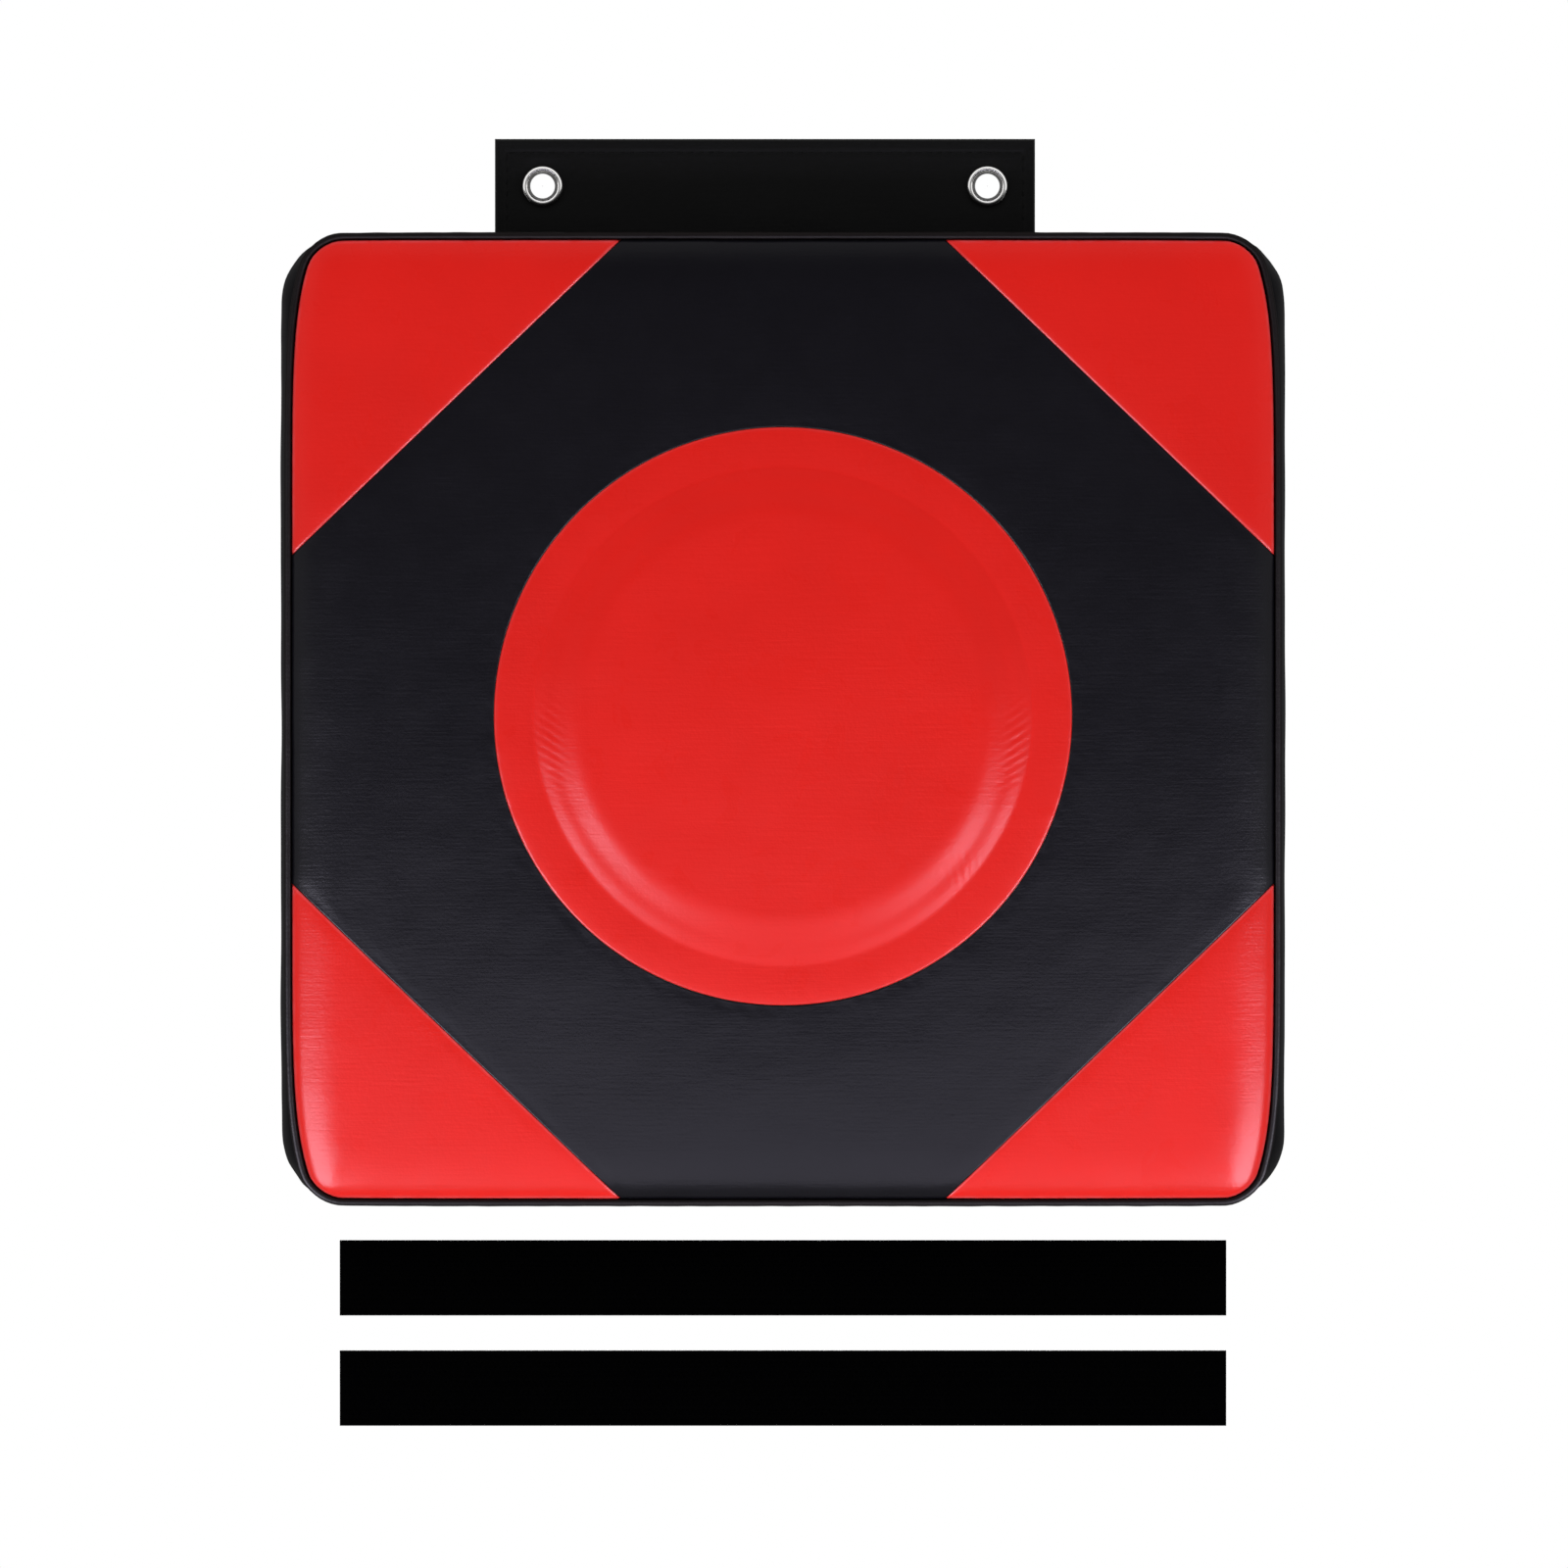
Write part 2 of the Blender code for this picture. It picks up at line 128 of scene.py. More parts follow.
def two_sided(count, tightness=2.4):
    """Shares from 0 to 1, packed closely at both ends."""
    return 0.5 + 0.5 * np.tanh(tightness * np.linspace(-1, 1, count)) / np.tanh(tightness)


def rounded(half_x, half_z, corner, bow_x, bow_z, grow=0.0):
    """Closed outline with round, pulled-in corners, as an array of points, anticlockwise."""
    half_x, half_z, corner = half_x + grow, half_z + grow, corner + grow
    arcs = []
    for index, (side_x, side_z) in enumerate(((1, 1), (-1, 1), (-1, -1), (1, -1))):
        angles = (index + np.linspace(0, 1, 15)) * pi / 2
        centre = side_x * (half_x - corner), side_z * (half_z - corner)
        arcs.append(np.column_stack((np.cos(angles), np.sin(angles))) * corner + centre)
    share = np.linspace(0, 1, 121)[1:-1, None]
    sides = [arc[-1] + (after[0] - arc[-1]) * share for arc, after in zip(arcs, arcs[1:] + arcs[:1])]
    x, z = np.vstack([part for pair in zip(arcs, sides) for part in pair]).T
    pull_x = bow_x / half_x * np.abs(z / half_z) ** BOW_POWER
    pull_z = bow_z / half_z * np.abs(x / half_x) ** BOW_POWER
    return np.column_stack((x * (1 - pull_x), z * (1 - pull_z)))


def seam_outline(grow=0.0):
    return rounded(SEAM_X, SEAM_Z, SEAM_CORNER, SEAM_BOW_X, SEAM_BOW_Z, grow)


def wide_outline():
    return rounded(WIDE_X, WIDE_Z, WIDE_CORNER, WIDE_BOW_X, WIDE_BOW_Z)


def outline_radius(theta):
    """Distance from the pad's centre to the front seam in a direction."""
    points = seam_outline()
    angles = np.unwrap(np.arctan2(points[:, 1], points[:, 0]))
    reach = np.hypot(points[:, 0], points[:, 1])
    angles = np.concatenate((angles - 2 * pi, angles, angles + 2 * pi))
    return np.interp(theta, angles, np.tile(reach, 3))


def inside_outline(x, z):
    """Distance from a point on the face to the front seam."""
    x = np.abs(x) / (1 - SEAM_BOW_X / SEAM_X * np.abs(z / SEAM_Z) ** BOW_POWER)
    z = np.abs(z) / (1 - SEAM_BOW_Z / SEAM_Z * np.minimum(x / SEAM_X, 1) ** BOW_POWER)
    across, along = x - (SEAM_X - SEAM_CORNER), z - (SEAM_Z - SEAM_CORNER)
    outside = np.hypot(np.maximum(across, 0), np.maximum(along, 0))
    return SEAM_CORNER - outside - np.minimum(np.maximum(across, along), 0)


def past_corner_seam(x, z):
    """Distance past the nearest corner seam, negative on the black panel."""
    past = [x * cos(a) + z * sin(a) - CORNER_SEAM_REACH for a in CORNER_ANGLES]
    return np.max(past, axis=0)


def from_target(x, z):
    return np.hypot(x, z - TARGET_Z)


# ---- the face's height
def quarter_round(distance, width):
    share = np.clip(distance / width, 0, 1)
    return np.sqrt(1 - (1 - share) ** 2)


def ease(value, first, last):
    return 0.5 - 0.5 * np.cos(pi * np.clip((value - first) / (last - first), 0, 1))


def disc_rise(radius):
    """Height of the foam disc under the target."""
    radii = np.linspace(0, TARGET_RADIUS, 2400)
    slope = ease(radii, *DISC_SHOULDER) * (1 - ease(radii, *DISC_CREASE))
    slope *= 1 - DISC_SIDE_DIP * np.exp(-(((radii - DISC_DIP_AT) / DISC_DIP_WIDTH) ** 2))
    fallen = np.cumsum(slope) / slope.sum()
    dome = DISC_DOME * np.maximum(0, 1 - (radius / DISC_SHOULDER[1]) ** 2) ** 1.5
    return (DISC_TOP_H - DISC_DROP - DISC_DOME - BORDER_H) * (1 - np.interp(radius, radii, fallen)) + dome


def puckers(x, z):
    """Small slanting gathers in the leather where it climbs the disc at the left and the right."""
    radius, angle = from_target(x, z), np.arctan2(z - TARGET_Z, x)
    amount = np.zeros_like(x, dtype=float)
    for centre, spread, slant, height in PUCKERS:
        off = np.angle(np.exp(1j * (angle - centre)))
        near = np.exp(-((off / spread) ** 2) - ((radius - PUCKER_AT) / PUCKER_REACH) ** 2)
        waves = np.sin(2 * pi * (off * radius + slant * 0.8 * (radius - 0.09)) / PUCKER_PITCH)
        amount += height * near * waves * (0.7 + 0.4 * ripple(x, z, 0.007, 61))
    return amount


def pillow(across, along, power):
    """A dome over the face, 1 in the middle and 0 at the edges; the higher the power the squarer it is."""
    return (1 - across**power) * (1 - along**power)


def base_height(x, z):
    """The stuffed face without its seams: low crown, square shoulders, edge rolled down to the piping."""
    half_x = SEAM_X - SEAM_BOW_X * np.abs(z / SEAM_Z) ** BOW_POWER
    across, along = np.clip(np.abs(x) / half_x, 0, 1), np.clip(np.abs(z) / SEAM_Z, 0, 1)
    edge = EDGE_RISE * quarter_round(inside_outline(x, z), EDGE_WIDTH)
    shoulder = SHOULDER * pillow(across, along, SHOULDER_POWER)
    return FRONT_PIPING_H + edge + shoulder + CROWN * pillow(across, along, CROWN_POWER)


BORDER_H = float(base_height(np.array([0.0]), np.array([TARGET_RADIUS]))[0])


def face_height(x, z, push):
    """Height of the cover's face above the wall, with the cloth's push and the valleys beside the seams."""
    seam = np.minimum(np.abs(past_corner_seam(x, z)), np.abs(from_target(x, z) - TARGET_RADIUS))
    seam = np.minimum(seam, inside_outline(x, z) * 2)
    valley = VALLEY_DEPTH * np.exp(-((seam / VALLEY_WIDTH) ** 2))
    waves = 0.00016 * ripple(x, z, 0.075, 5) + 0.00005 * ripple(x, z, 0.022, 9)
    gathers = 0.00007 * np.exp(-seam / 0.004) * ripple(x, z, 0.0065, 21)
    return base_height(x, z) - valley + push + waves + gathers


def lip(distance, share=1.0):
    """How far a panel's turned-in edge has rolled down at a distance from its seam."""
    return share * LIP_DEPTH * (1 - quarter_round(distance, share * LIP_WIDTH))


def edge_wear_and_sheen(distance):
    """How far the colour pales along a panel's turned edge, from 0 to 1: partly worn coating, partly a
    painted highlight on the rolled lip.
    """
    return np.exp(-(((distance - WEAR_SHEEN_AT) / WEAR_SHEEN_WIDTH) ** 2))


# ---- meshes
def loft(name, rows, closed, facing=None, wear_and_sheen=None):
    """A sheet through rows of points, with its doubled points joined and its pale edges marked, for wear and
    a painted highlight.
    """
    rows = np.asarray(rows, dtype=float)
    count, width = rows.shape[:2]
    index = np.arange(count * width).reshape(count, width)
    after = np.roll(index, -1, axis=1) if closed else index[:, 1:]
    before = index if closed else index[:, :-1]
    quads = np.stack((before[:-1], after[:-1], after[1:], before[1:]), axis=-1).reshape(-1, 4)
    mesh = bpy.data.meshes.new(name)
    mesh.from_pydata(rows.reshape(-1, 3).tolist(), [], quads.tolist())
    if wear_and_sheen is not None:
        mesh.attributes.new("wear_and_sheen", "FLOAT", "POINT").data.foreach_set("value", np.ravel(wear_and_sheen))
    edit(mesh, weld)
    if facing is not None:
        total = sum((Vector(polygon.normal) * polygon.area for polygon in mesh.polygons), Vector())
        if total.dot(Vector(facing)) < 0:
            mesh.flip_normals()
    return new_object(name, mesh)


def edit(mesh, *changes):
    """Makes changes to a mesh, each a function of its bmesh."""
    bm = bmesh.new()
    bm.from_mesh(mesh)
    for change in changes:
        change(bm)
    bm.to_mesh(mesh)
    bm.free()


def weld(bm):
    bmesh.ops.remove_doubles(bm, verts=bm.verts, dist=1e-6)
    bmesh.ops.dissolve_degenerate(bm, dist=1e-8, edges=bm.edges)


def face_outward(bm):
    bmesh.ops.recalc_face_normals(bm, faces=bm.faces)


def close_holes(bm):
    bmesh.ops.holes_fill(bm, edges=[edge for edge in bm.edges if edge.is_boundary])


def close_pinhole(bm):
    """Closes the pinhole at the middle of a turned sheet, and leaves its rim open."""
    middle = Vector((0, 0, PAD_Z))
    near = [edge for edge in bm.edges if edge.is_boundary and (edge.verts[0].co - middle).xz.length < 0.01]
    bmesh.ops.holes_fill(bm, edges=near)


def new_object(name, mesh):
    mesh.shade_smooth()
    obj = bpy.data.objects.new(name, mesh)
    bpy.context.scene.collection.objects.link(obj)
    return obj


def thicken(obj, thickness=LEATHER):
    shell = obj.modifiers.new("thickness", "SOLIDIFY")
    shell.thickness = thickness
    shell.offset = -1.0
    shell.use_even_offset = False
    return obj


def on_face(x, h, z):
    """Points of the cover in the frame, from x and z about the pad's centre and heights above the wall."""
    return np.stack(np.broadcast_arrays(x, -np.asarray(h), np.asarray(z) + PAD_Z), axis=-1)


def turned(name, profile, centre_x, steps):
    """A closed section of (radius, h) points turned about an axis square to the wall, at z = 0."""
    angles = np.linspace(0, 2 * pi, steps, endpoint=False)
    rows = [
        np.column_stack((centre_x + radius * np.cos(angles), np.full(steps, -h), radius * np.sin(angles)))
        for radius, h in [*profile, profile[0]]
    ]
    obj = loft(name, rows, closed=True)
    edit(obj.data, face_outward)
    return obj


def tube(name, path, radii, sides):
    """A closed round tube along a path, with its radius at each point."""
    ahead = np.roll(path, -1, axis=0) - np.roll(path, 1, axis=0)
    ahead /= np.linalg.norm(ahead, axis=1)[:, None]
    out = np.cross(ahead, np.array((0.0, 1.0, 0.0)))
    out /= np.linalg.norm(out, axis=1)[:, None]
    up = np.cross(out, ahead)
    turns = np.linspace(0, 2 * pi, sides + 1)
    obj = loft(name, [path + radii[:, None] * (cos(a) * out + sin(a) * up) for a in turns], closed=True)
    edit(obj.data, face_outward)
    return obj


def evenly(points, spacing, closed=True):
    """Points along a path at an even spacing."""
    points = np.asarray(points, dtype=float)
    if closed:
        points = np.vstack((points, points[:1]))
    lengths = np.concatenate(([0], np.cumsum(np.linalg.norm(np.diff(points, axis=0), axis=1))))
    count = max(2, int(round(lengths[-1] / spacing)))
    along = np.linspace(0, lengths[-1], count, endpoint=not closed)
    return np.column_stack([np.interp(along, lengths, axis) for axis in points.T])


# ---- materials
def material(name, colour, roughness, metallic=0.0):
    """A material with its node tree, its Principled shader and the coordinates that its nodes read."""
    made = bpy.data.materials.new(name)
    made.use_nodes = True
    tree = made.node_tree
    shader = tree.nodes["Principled BSDF"]
    shader.inputs["Base Color"].default_value = (*colour, 1)
    shader.inputs["Roughness"].default_value = roughness
    shader.inputs["Metallic"].default_value = metallic
    return made, tree, shader, node(tree, "ShaderNodeTexCoord").outputs["Object"]


def node(tree, kind, inputs=None, **settings):
    made = tree.nodes.new(kind)
    for key, value in settings.items():
        setattr(made, key, value)
    for key, value in (inputs or {}).items():
        if isinstance(value, bpy.types.NodeSocket):
            tree.links.new(value, made.inputs[key])
        else:
            made.inputs[key].default_value = value
    return made


def noise(tree, scale, detail, where, distortion=0.0):
    inputs = {"Vector": where, "Scale": scale, "Detail": detail, "Distortion": distortion}
    return node(tree, "ShaderNodeTexNoise", inputs).outputs["Fac"]


def remap(tree, value, low, high):
    inputs = {"Value": value, "From Min": 0.3, "From Max": 0.7, "To Min": low, "To Max": high}
    return node(tree, "ShaderNodeMapRange", inputs).outputs["Result"]


def tint(tree, factor, first, second):
    """A mix of two colours, each a socket or three numbers."""
    mixed = node(tree, "ShaderNodeMix", {"Factor": factor}, data_type="RGBA")
    sockets = [socket for socket in mixed.inputs if socket.type == "RGBA"]
    for socket, colour in zip(sockets, (first, second)):
        if isinstance(colour, bpy.types.NodeSocket):
            tree.links.new(colour, socket)
        else:
            socket.default_value = (*colour, 1)
    return next(socket for socket in mixed.outputs if socket.type == "RGBA")


def bumped(tree, shader, *heights):
    """Chains bumps onto the shader: (height socket, strength, distance) each."""
    normal = None
    for height, strength, distance in heights:
        inputs = {"Height": height, "Strength": strength, "Distance": distance}
        if normal is not None:
            inputs["Normal"] = normal
        normal = node(tree, "ShaderNodeBump", inputs).outputs["Normal"]
    tree.links.new(normal, shader.inputs["Normal"])


def scaled(colour, factor):
    return tuple(min(1.0, channel * factor) for channel in colour)


def mottle(tree, shader, factor, colour, low, high):
    """Lets the base colour wander between two strengths of a colour."""
    mixed = tint(tree, factor, scaled(colour, low), scaled(colour, high))
    tree.links.new(mixed, shader.inputs["Base Color"])


def leather(name, colour, roughness, specular=0.08, wear_and_sheen_colour=None):
    """Coated fabric: pebbled grain and fine level streaks, mottled colour, duller scuffs, and paler edges
    that are partly wear and partly a painted highlight.
    """
    made, tree, shader, where = material(name, colour, roughness)
    cloudy = remap(tree, noise(tree, 22, 5, where), 0, 1)
    mottled = tint(tree, cloudy, scaled(colour, 0.97), scaled(colour, 1.03))
    # Paler turned edges: worn coating and a painted highlight along the lip, in a lighter colour.
    if wear_and_sheen_colour:
        wear_and_sheen = node(tree, "ShaderNodeAttribute", attribute_name="wear_and_sheen").outputs["Fac"]
        patches = remap(tree, noise(tree, 160, 3, where), 0.25, 0.75)
        patchy_wear_sheen = node(tree, "ShaderNodeMath", {0: wear_and_sheen, 1: patches}, operation="MULTIPLY")
        mottled = tint(tree, patchy_wear_sheen.outputs["Value"], mottled, wear_and_sheen_colour)
    tree.links.new(mottled, shader.inputs["Base Color"])
    scuffs = remap(tree, noise(tree, 60, 6, where, 0.6), roughness - 0.015, roughness + 0.02)
    tree.links.new(scuffs, shader.inputs["Roughness"])
    shader.inputs["Specular IOR Level"].default_value = specular
    pebbles = node(tree, "ShaderNodeTexVoronoi", {"Vector": where, "Scale": 900.0, "Randomness": 0.9})
    creases = noise(tree, 420, 5, where)
    level = node(tree, "ShaderNodeMapping", {"Vector": where, "Scale": (70.0, 70.0, 900.0)})
    streaks = noise(tree, 1.0, 3, level.outputs["Vector"])
    bumped(
        tree,
        shader,
        (streaks, 0.30, 0.00020),
        (creases, 0.30, 0.00014),
        (pebbles.outputs["Distance"], 0.20, 0.00010),
    )
    return made


def metal(name):
    """Nickel plate with fine polishing lines and faint smudges."""
    made, tree, shader, where = material(name, (0.80, 0.79, 0.78), 0.16, 1.0)
    tree.links.new(remap(tree, noise(tree, 400, 5, where), 0.10, 0.24), shader.inputs["Roughness"])
    smudges = tint(tree, noise(tree, 180, 3, where), (0.70, 0.69, 0.68), (0.86, 0.85, 0.84))
    tree.links.new(smudges, shader.inputs["Base Color"])
    bumped(tree, shader, (noise(tree, 1600, 3, where), 0.15, 0.00003))
    return made


def wave(tree, where, scale, distortion, way):
    inputs = {"Vector": where, "Scale": scale, "Distortion": distortion}
    return node(tree, "ShaderNodeTexWave", inputs, bands_direction=way).outputs["Fac"]


def thread(name, colour, sheen, specular):
    """Twisted sewing thread."""
    made, tree, shader, where = material(name, colour, 0.55)
    twist = wave(tree, where, 1500.0, 0.5, "DIAGONAL")
    mottle(tree, shader, twist, colour, 0.7, 1.3)
    shader.inputs["Sheen Weight"].default_value = sheen
    shader.inputs["Specular IOR Level"].default_value = specular
    bumped(tree, shader, (twist, 0.5, 0.00008))
    return made


def woven(name, colour, roughness, sheen=0.0, specular=0.2):
    """Narrow woven tape."""
    made, tree, shader, where = material(name, colour, roughness)
    warp, weft = (wave(tree, where, 420.0, 0.4, way) for way in ("X", "Z"))
    fuzz = noise(tree, 900, 4, where)
    mottle(tree, shader, fuzz, colour, 0.6, 1.5)
    shader.inputs["Sheen Weight"].default_value = sheen
    shader.inputs["Specular IOR Level"].default_value = specular
    bumped(tree, shader, (warp, 0.4, 0.00012), (weft, 0.4, 0.00012), (fuzz, 0.5, 0.0001))
    return made


def foam(name, colour):
    """Open-celled foam."""
    made, tree, shader, where = material(name, colour, 0.95)
    cells = node(tree, "ShaderNodeTexVoronoi", {"Vector": where, "Scale": 900.0}).outputs["Distance"]
    mottle(tree, shader, cells, colour, 0.75, 1.1)
    bumped(tree, shader, (cells, 0.6, 0.0004))
    return made


def adhesive(name):
    """Pressure-sensitive adhesive under its pale liner."""
    colour = (0.62, 0.60, 0.52)
    made, tree, shader, where = material(name, colour, 0.42)
    cloud = noise(tree, 60, 4, where)
    mottle(tree, shader, cloud, colour, 0.88, 1.1)
    tree.links.new(remap(tree, noise(tree, 220, 3, where), 0.34, 0.52), shader.inputs["Roughness"])
    bumped(tree, shader, (cloud, 0.2, 0.0003))
    return made


# The red's paler edge colour is partly wear and partly a painted highlight.
RED = leather("red_cover", (0.800, 0.0152, 0.0108), 0.28, wear_and_sheen_colour=(0.82, 0.10, 0.11))
BLACK = leather("black_cover", (0.0046, 0.0042, 0.0064), 0.29)
BLACK_SIDE = leather("black_side_cover", (0.0042, 0.0038, 0.0048), 0.36)
BLACK_BACK = leather("black_back_cover", (0.0060, 0.0058, 0.0064), 0.45)
BLACK_FLAP = leather("black_flap_cover", (0.0048, 0.0048, 0.0049), 0.42, specular=0.10)
BLACK_PIPING = leather("black_piping_cover", (0.0070, 0.0050, 0.0052), 0.42, specular=0.06)
NICKEL = metal("nickel_plate")
THREAD = thread("black_thread", (0.0030, 0.0030, 0.0030), sheen=0.03, specular=0.08)
LOOP = woven("loop_pile", (0.010, 0.010, 0.011), 0.95, sheen=0.1)
HOOK_BASE = woven("hook_tape_weave", (0.0008, 0.0008, 0.0009), 0.9, specular=0.0)
HOOK = thread("hook_monofilament", (0.0008, 0.0008, 0.0009), sheen=0.0, specular=0.0)


def coat(obj, finish):
    obj.data.materials.clear()
    obj.data.materials.append(finish)


def placed(obj, body, finish, slot, *nodes):
    """Gives a piece its material and body and hides the CAD nodes that it stands for; slot is not used."""
    coat(obj, finish)
    if body:
        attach(obj, body)
    if nodes:
        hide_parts(*nodes)
    return obj


# ---- cloth simulation
def cover_body():
    """The whole stuffed cover as one closed coarse body, for the simulation."""
    outline = evenly(seam_outline(), 0.006)
    wide = match(outline, evenly(wide_outline(), 0.006))
    rows = []
    for share in np.linspace(0.02, 1, 36):
        x, z = (outline * share).T
        disc = np.where(from_target(x, z) < TARGET_RADIUS, disc_rise(from_target(x, z)), 0)
        rows.append(on_face(x, base_height(x, z) + disc, z))
    for share in np.linspace(1, 0, 9)[1:]:
        rows.append(band_row(outline, wide, share))
    for share in np.linspace(1, 0.02, 30)[1:]:
        x, z = (outline * share).T
        rows.append(on_face(x, np.full(len(x), BACK_PIPING_H), z))
    obj = loft("cover_cloth", rows, closed=True)
    edit(obj.data, close_holes, face_outward)
    return obj


def match(first, second):
    """second's points re-read at the directions of first's."""
    angles = np.unwrap(np.arctan2(second[:, 1], second[:, 0]))
    wanted = np.unwrap(np.arctan2(first[:, 1], first[:, 0]))
    angles = np.concatenate((angles - 2 * pi, angles, angles + 2 * pi))
    tiled = np.tile(second, (3, 1))
    return np.column_stack([np.interp(wanted, angles, axis) for axis in tiled.T])


def band_row(outline, wide, share):
    """One loop of the side band, from the back seam at share 0 to the front seam at 1."""
    low, high = BACK_PIPING_H + PIPING_RADIUS, FRONT_PIPING_H - PIPING_RADIUS
    bulge = sin(share * pi) ** 0.6 if 0 < share < 1 else 0.0
    x, z = (outline + (wide - outline) * bulge).T
    return on_face(x, np.full(len(x), low + (high - low) * share), z)


def simulate(obj):
    """Inflates the cover as cloth, held at its seams and back: its points, and how they moved."""
    remesh = obj.modifiers.new("remesh", "REMESH")
    remesh.mode = "VOXEL"
    remesh.voxel_size = CLOTH_VOXEL
    bpy.context.view_layer.objects.active = obj
    bpy.ops.object.modifier_apply(modifier=remesh.name)
    before = np.array([vertex.co for vertex in obj.data.vertices])
    x, h, z = before[:, 0], -before[:, 1], before[:, 2] - PAD_Z
    on_front = h > FRONT_PIPING_H - 0.001
    from_seams = np.minimum(np.abs(past_corner_seam(x, z)), np.abs(from_target(x, z) - TARGET_RADIUS))
    near_piping = (np.abs(h - FRONT_PIPING_H) < PINNED_WITHIN) | (h < BACK_PIPING_H + PINNED_WITHIN)
    pinned = (h < BACK_PIPING_H + 0.002) | (on_front & (from_seams < PINNED_WITHIN * 0.6))
    pinned |= near_piping & (np.abs(inside_outline(x, z)) < PINNED_WITHIN)
    on_disc = on_front & (from_target(x, z) < DISC_CREASE[1])
    held = np.where(pinned, 1.0, np.where(on_disc, 0.7, 0.0))
    group = obj.vertex_groups.new(name="sewn")
    for weight in (0.7, 1.0):
        group.add(np.nonzero(held == weight)[0].tolist(), weight, "REPLACE")
    cloth = obj.modifiers.new("cloth", "CLOTH")
    settings = cloth.settings
    settings.vertex_group_mass = group.name
    settings.use_pressure = True
    settings.uniform_pressure_force = CLOTH_PRESSURE
    settings.effector_weights.gravity = 0.0
    settings.tension_stiffness = settings.compression_stiffness = CLOTH_STRETCH
    settings.bending_stiffness = CLOTH_BEND
    settings.quality = 6
    cloth.collision_settings.use_collision = False
    cloth.point_cache.frame_start, cloth.point_cache.frame_end = 1, CLOTH_FRAMES
    for number in range(1, CLOTH_FRAMES + 1):
        bpy.context.scene.frame_set(number)
    graph = bpy.context.evaluated_depsgraph_get()
    after = np.array([vertex.co for vertex in obj.evaluated_get(graph).data.vertices])
    moved = after - before
    length = np.linalg.norm(moved, axis=1)
    moved *= np.minimum(1, CLOTH_CAP / np.maximum(length, 1e-9))[:, None]
    bpy.context.scene.frame_set(1)
    bpy.data.objects.remove(obj, do_unlink=True)
    return before, moved


def cloth_push():
    """A function that reads how the simulated cover moved near given points."""
    before, moved = simulate(cover_body())
    tree = kdtree.KDTree(len(before))
    for index, point in enumerate(before):
        tree.insert(point, index)
    tree.balance()

    def read(points, around=16, reach=0.009):
        result = np.zeros((len(points), 3))
        for index, point in enumerate(points):
            found = tree.find_n(point, around)
            nearest = [item[1] for item in found]
            weights = np.exp(-((np.array([item[2] for item in found]) / reach) ** 2)) + 1e-9
            result[index] = CLOTH_SHARE * (moved[nearest] * weights[:, None]).sum(0) / weights.sum()
        return result

    return read


READ_PUSH = cloth_push()


def push_at(x, z):
    """How far the cloth stood out from the face at points about the pad's centre."""
    flat_x, flat_z = np.ravel(x), np.ravel(z)
    points = on_face(flat_x, base_height(flat_x, flat_z), flat_z)
    return -READ_PUSH(points)[:, 1].reshape(np.shape(x))


# ---- cover pieces
def seam_crossings(angle):
    """The two directions in which a corner seam meets the front seam."""
    ends = []
    for side in (-1, 1):
        offsets = np.linspace(0, radians(38), 4000)
        theta = angle + side * offsets
        gap = outline_radius(theta) - CORNER_SEAM_REACH / np.cos(offsets)
        ends.append(float(theta[np.argmax(gap < 0)]))
    return ends


def sew_patch(name, theta, inner, outer, inner_centre_z, edges, proud, lip_share, finish, slot, *nodes):
    """A face panel between an inner and an outer boundary, both given along the same directions."""
    shares = two_sided(edges)[:, None]
    direction = np.array((np.cos(theta), np.sin(theta)))
    start = inner * direction + np.array((0.0, inner_centre_z))[:, None]
    end = outer * direction
    x = start[0] + (end[0] - start[0]) * shares
    z = start[1] + (end[1] - start[1]) * shares
    corner = past_corner_seam(x, z)
    target = from_target(x, z) - TARGET_RADIUS
    own = np.minimum(np.minimum(np.abs(corner), np.abs(target)), inside_outline(x, z))
    h = face_height(x, z, push_at(x, z)) + proud * quarter_round(own, 4 * LIP_WIDTH) - lip(own, lip_share)
    closed = np.isclose(theta[-1] - theta[0], 2 * pi, atol=0.05)
    # The paled edge mask carries wear and a painted highlight along each seam.
    obj = thicken(loft(name, on_face(x, h, z), closed, facing=(0, -1, 0), wear_and_sheen=edge_wear_and_sheen(own)))
    placed(obj, "pad", finish, slot, *nodes)
    return obj


def make_corner_panels():
    names = ("top_right", "top_left", "bottom_left", "bottom_right")
    made = []
    for name, angle in zip(names, CORNER_ANGLES):
        theta = np.linspace(*seam_crossings(angle), 110)
        inner = (CORNER_SEAM_REACH + SEAM_SPLIT) / np.cos(theta - angle)
        outer = np.maximum(outline_radius(theta), inner)
        looks = RED_PROUD, 1.0, RED, "red_leather", "red_corner_panel_" + name
        made.append(sew_patch("cover_red_" + name, theta, inner, outer, 0.0, 44, *looks))
    return made


def make_black_panel():
    theta, outer = [], []
    crossings = [seam_crossings(angle) for angle in CORNER_ANGLES]
    following = [first for first, _ in crossings[1:]] + [crossings[0][0] + 2 * pi]
    for angle, (first, last), after in zip(CORNER_ANGLES, crossings, following):
        seam, side = np.linspace(first, last, 76)[:-1], np.linspace(last, after, 52)[:-1]
        theta += [seam, side]
        outer += [(CORNER_SEAM_REACH - SEAM_SPLIT) / np.cos(seam - angle), outline_radius(side)]
    theta, outer = np.concatenate(theta), np.concatenate(outer)
    inner = np.full(len(theta), TARGET_RADIUS + SEAM_SPLIT)
    looks = 0.0, BLACK_LIP, BLACK, "black_face_leather", "black_face_panel"
    return sew_patch("cover_black_face", theta, inner, outer, TARGET_Z, 50, *looks)


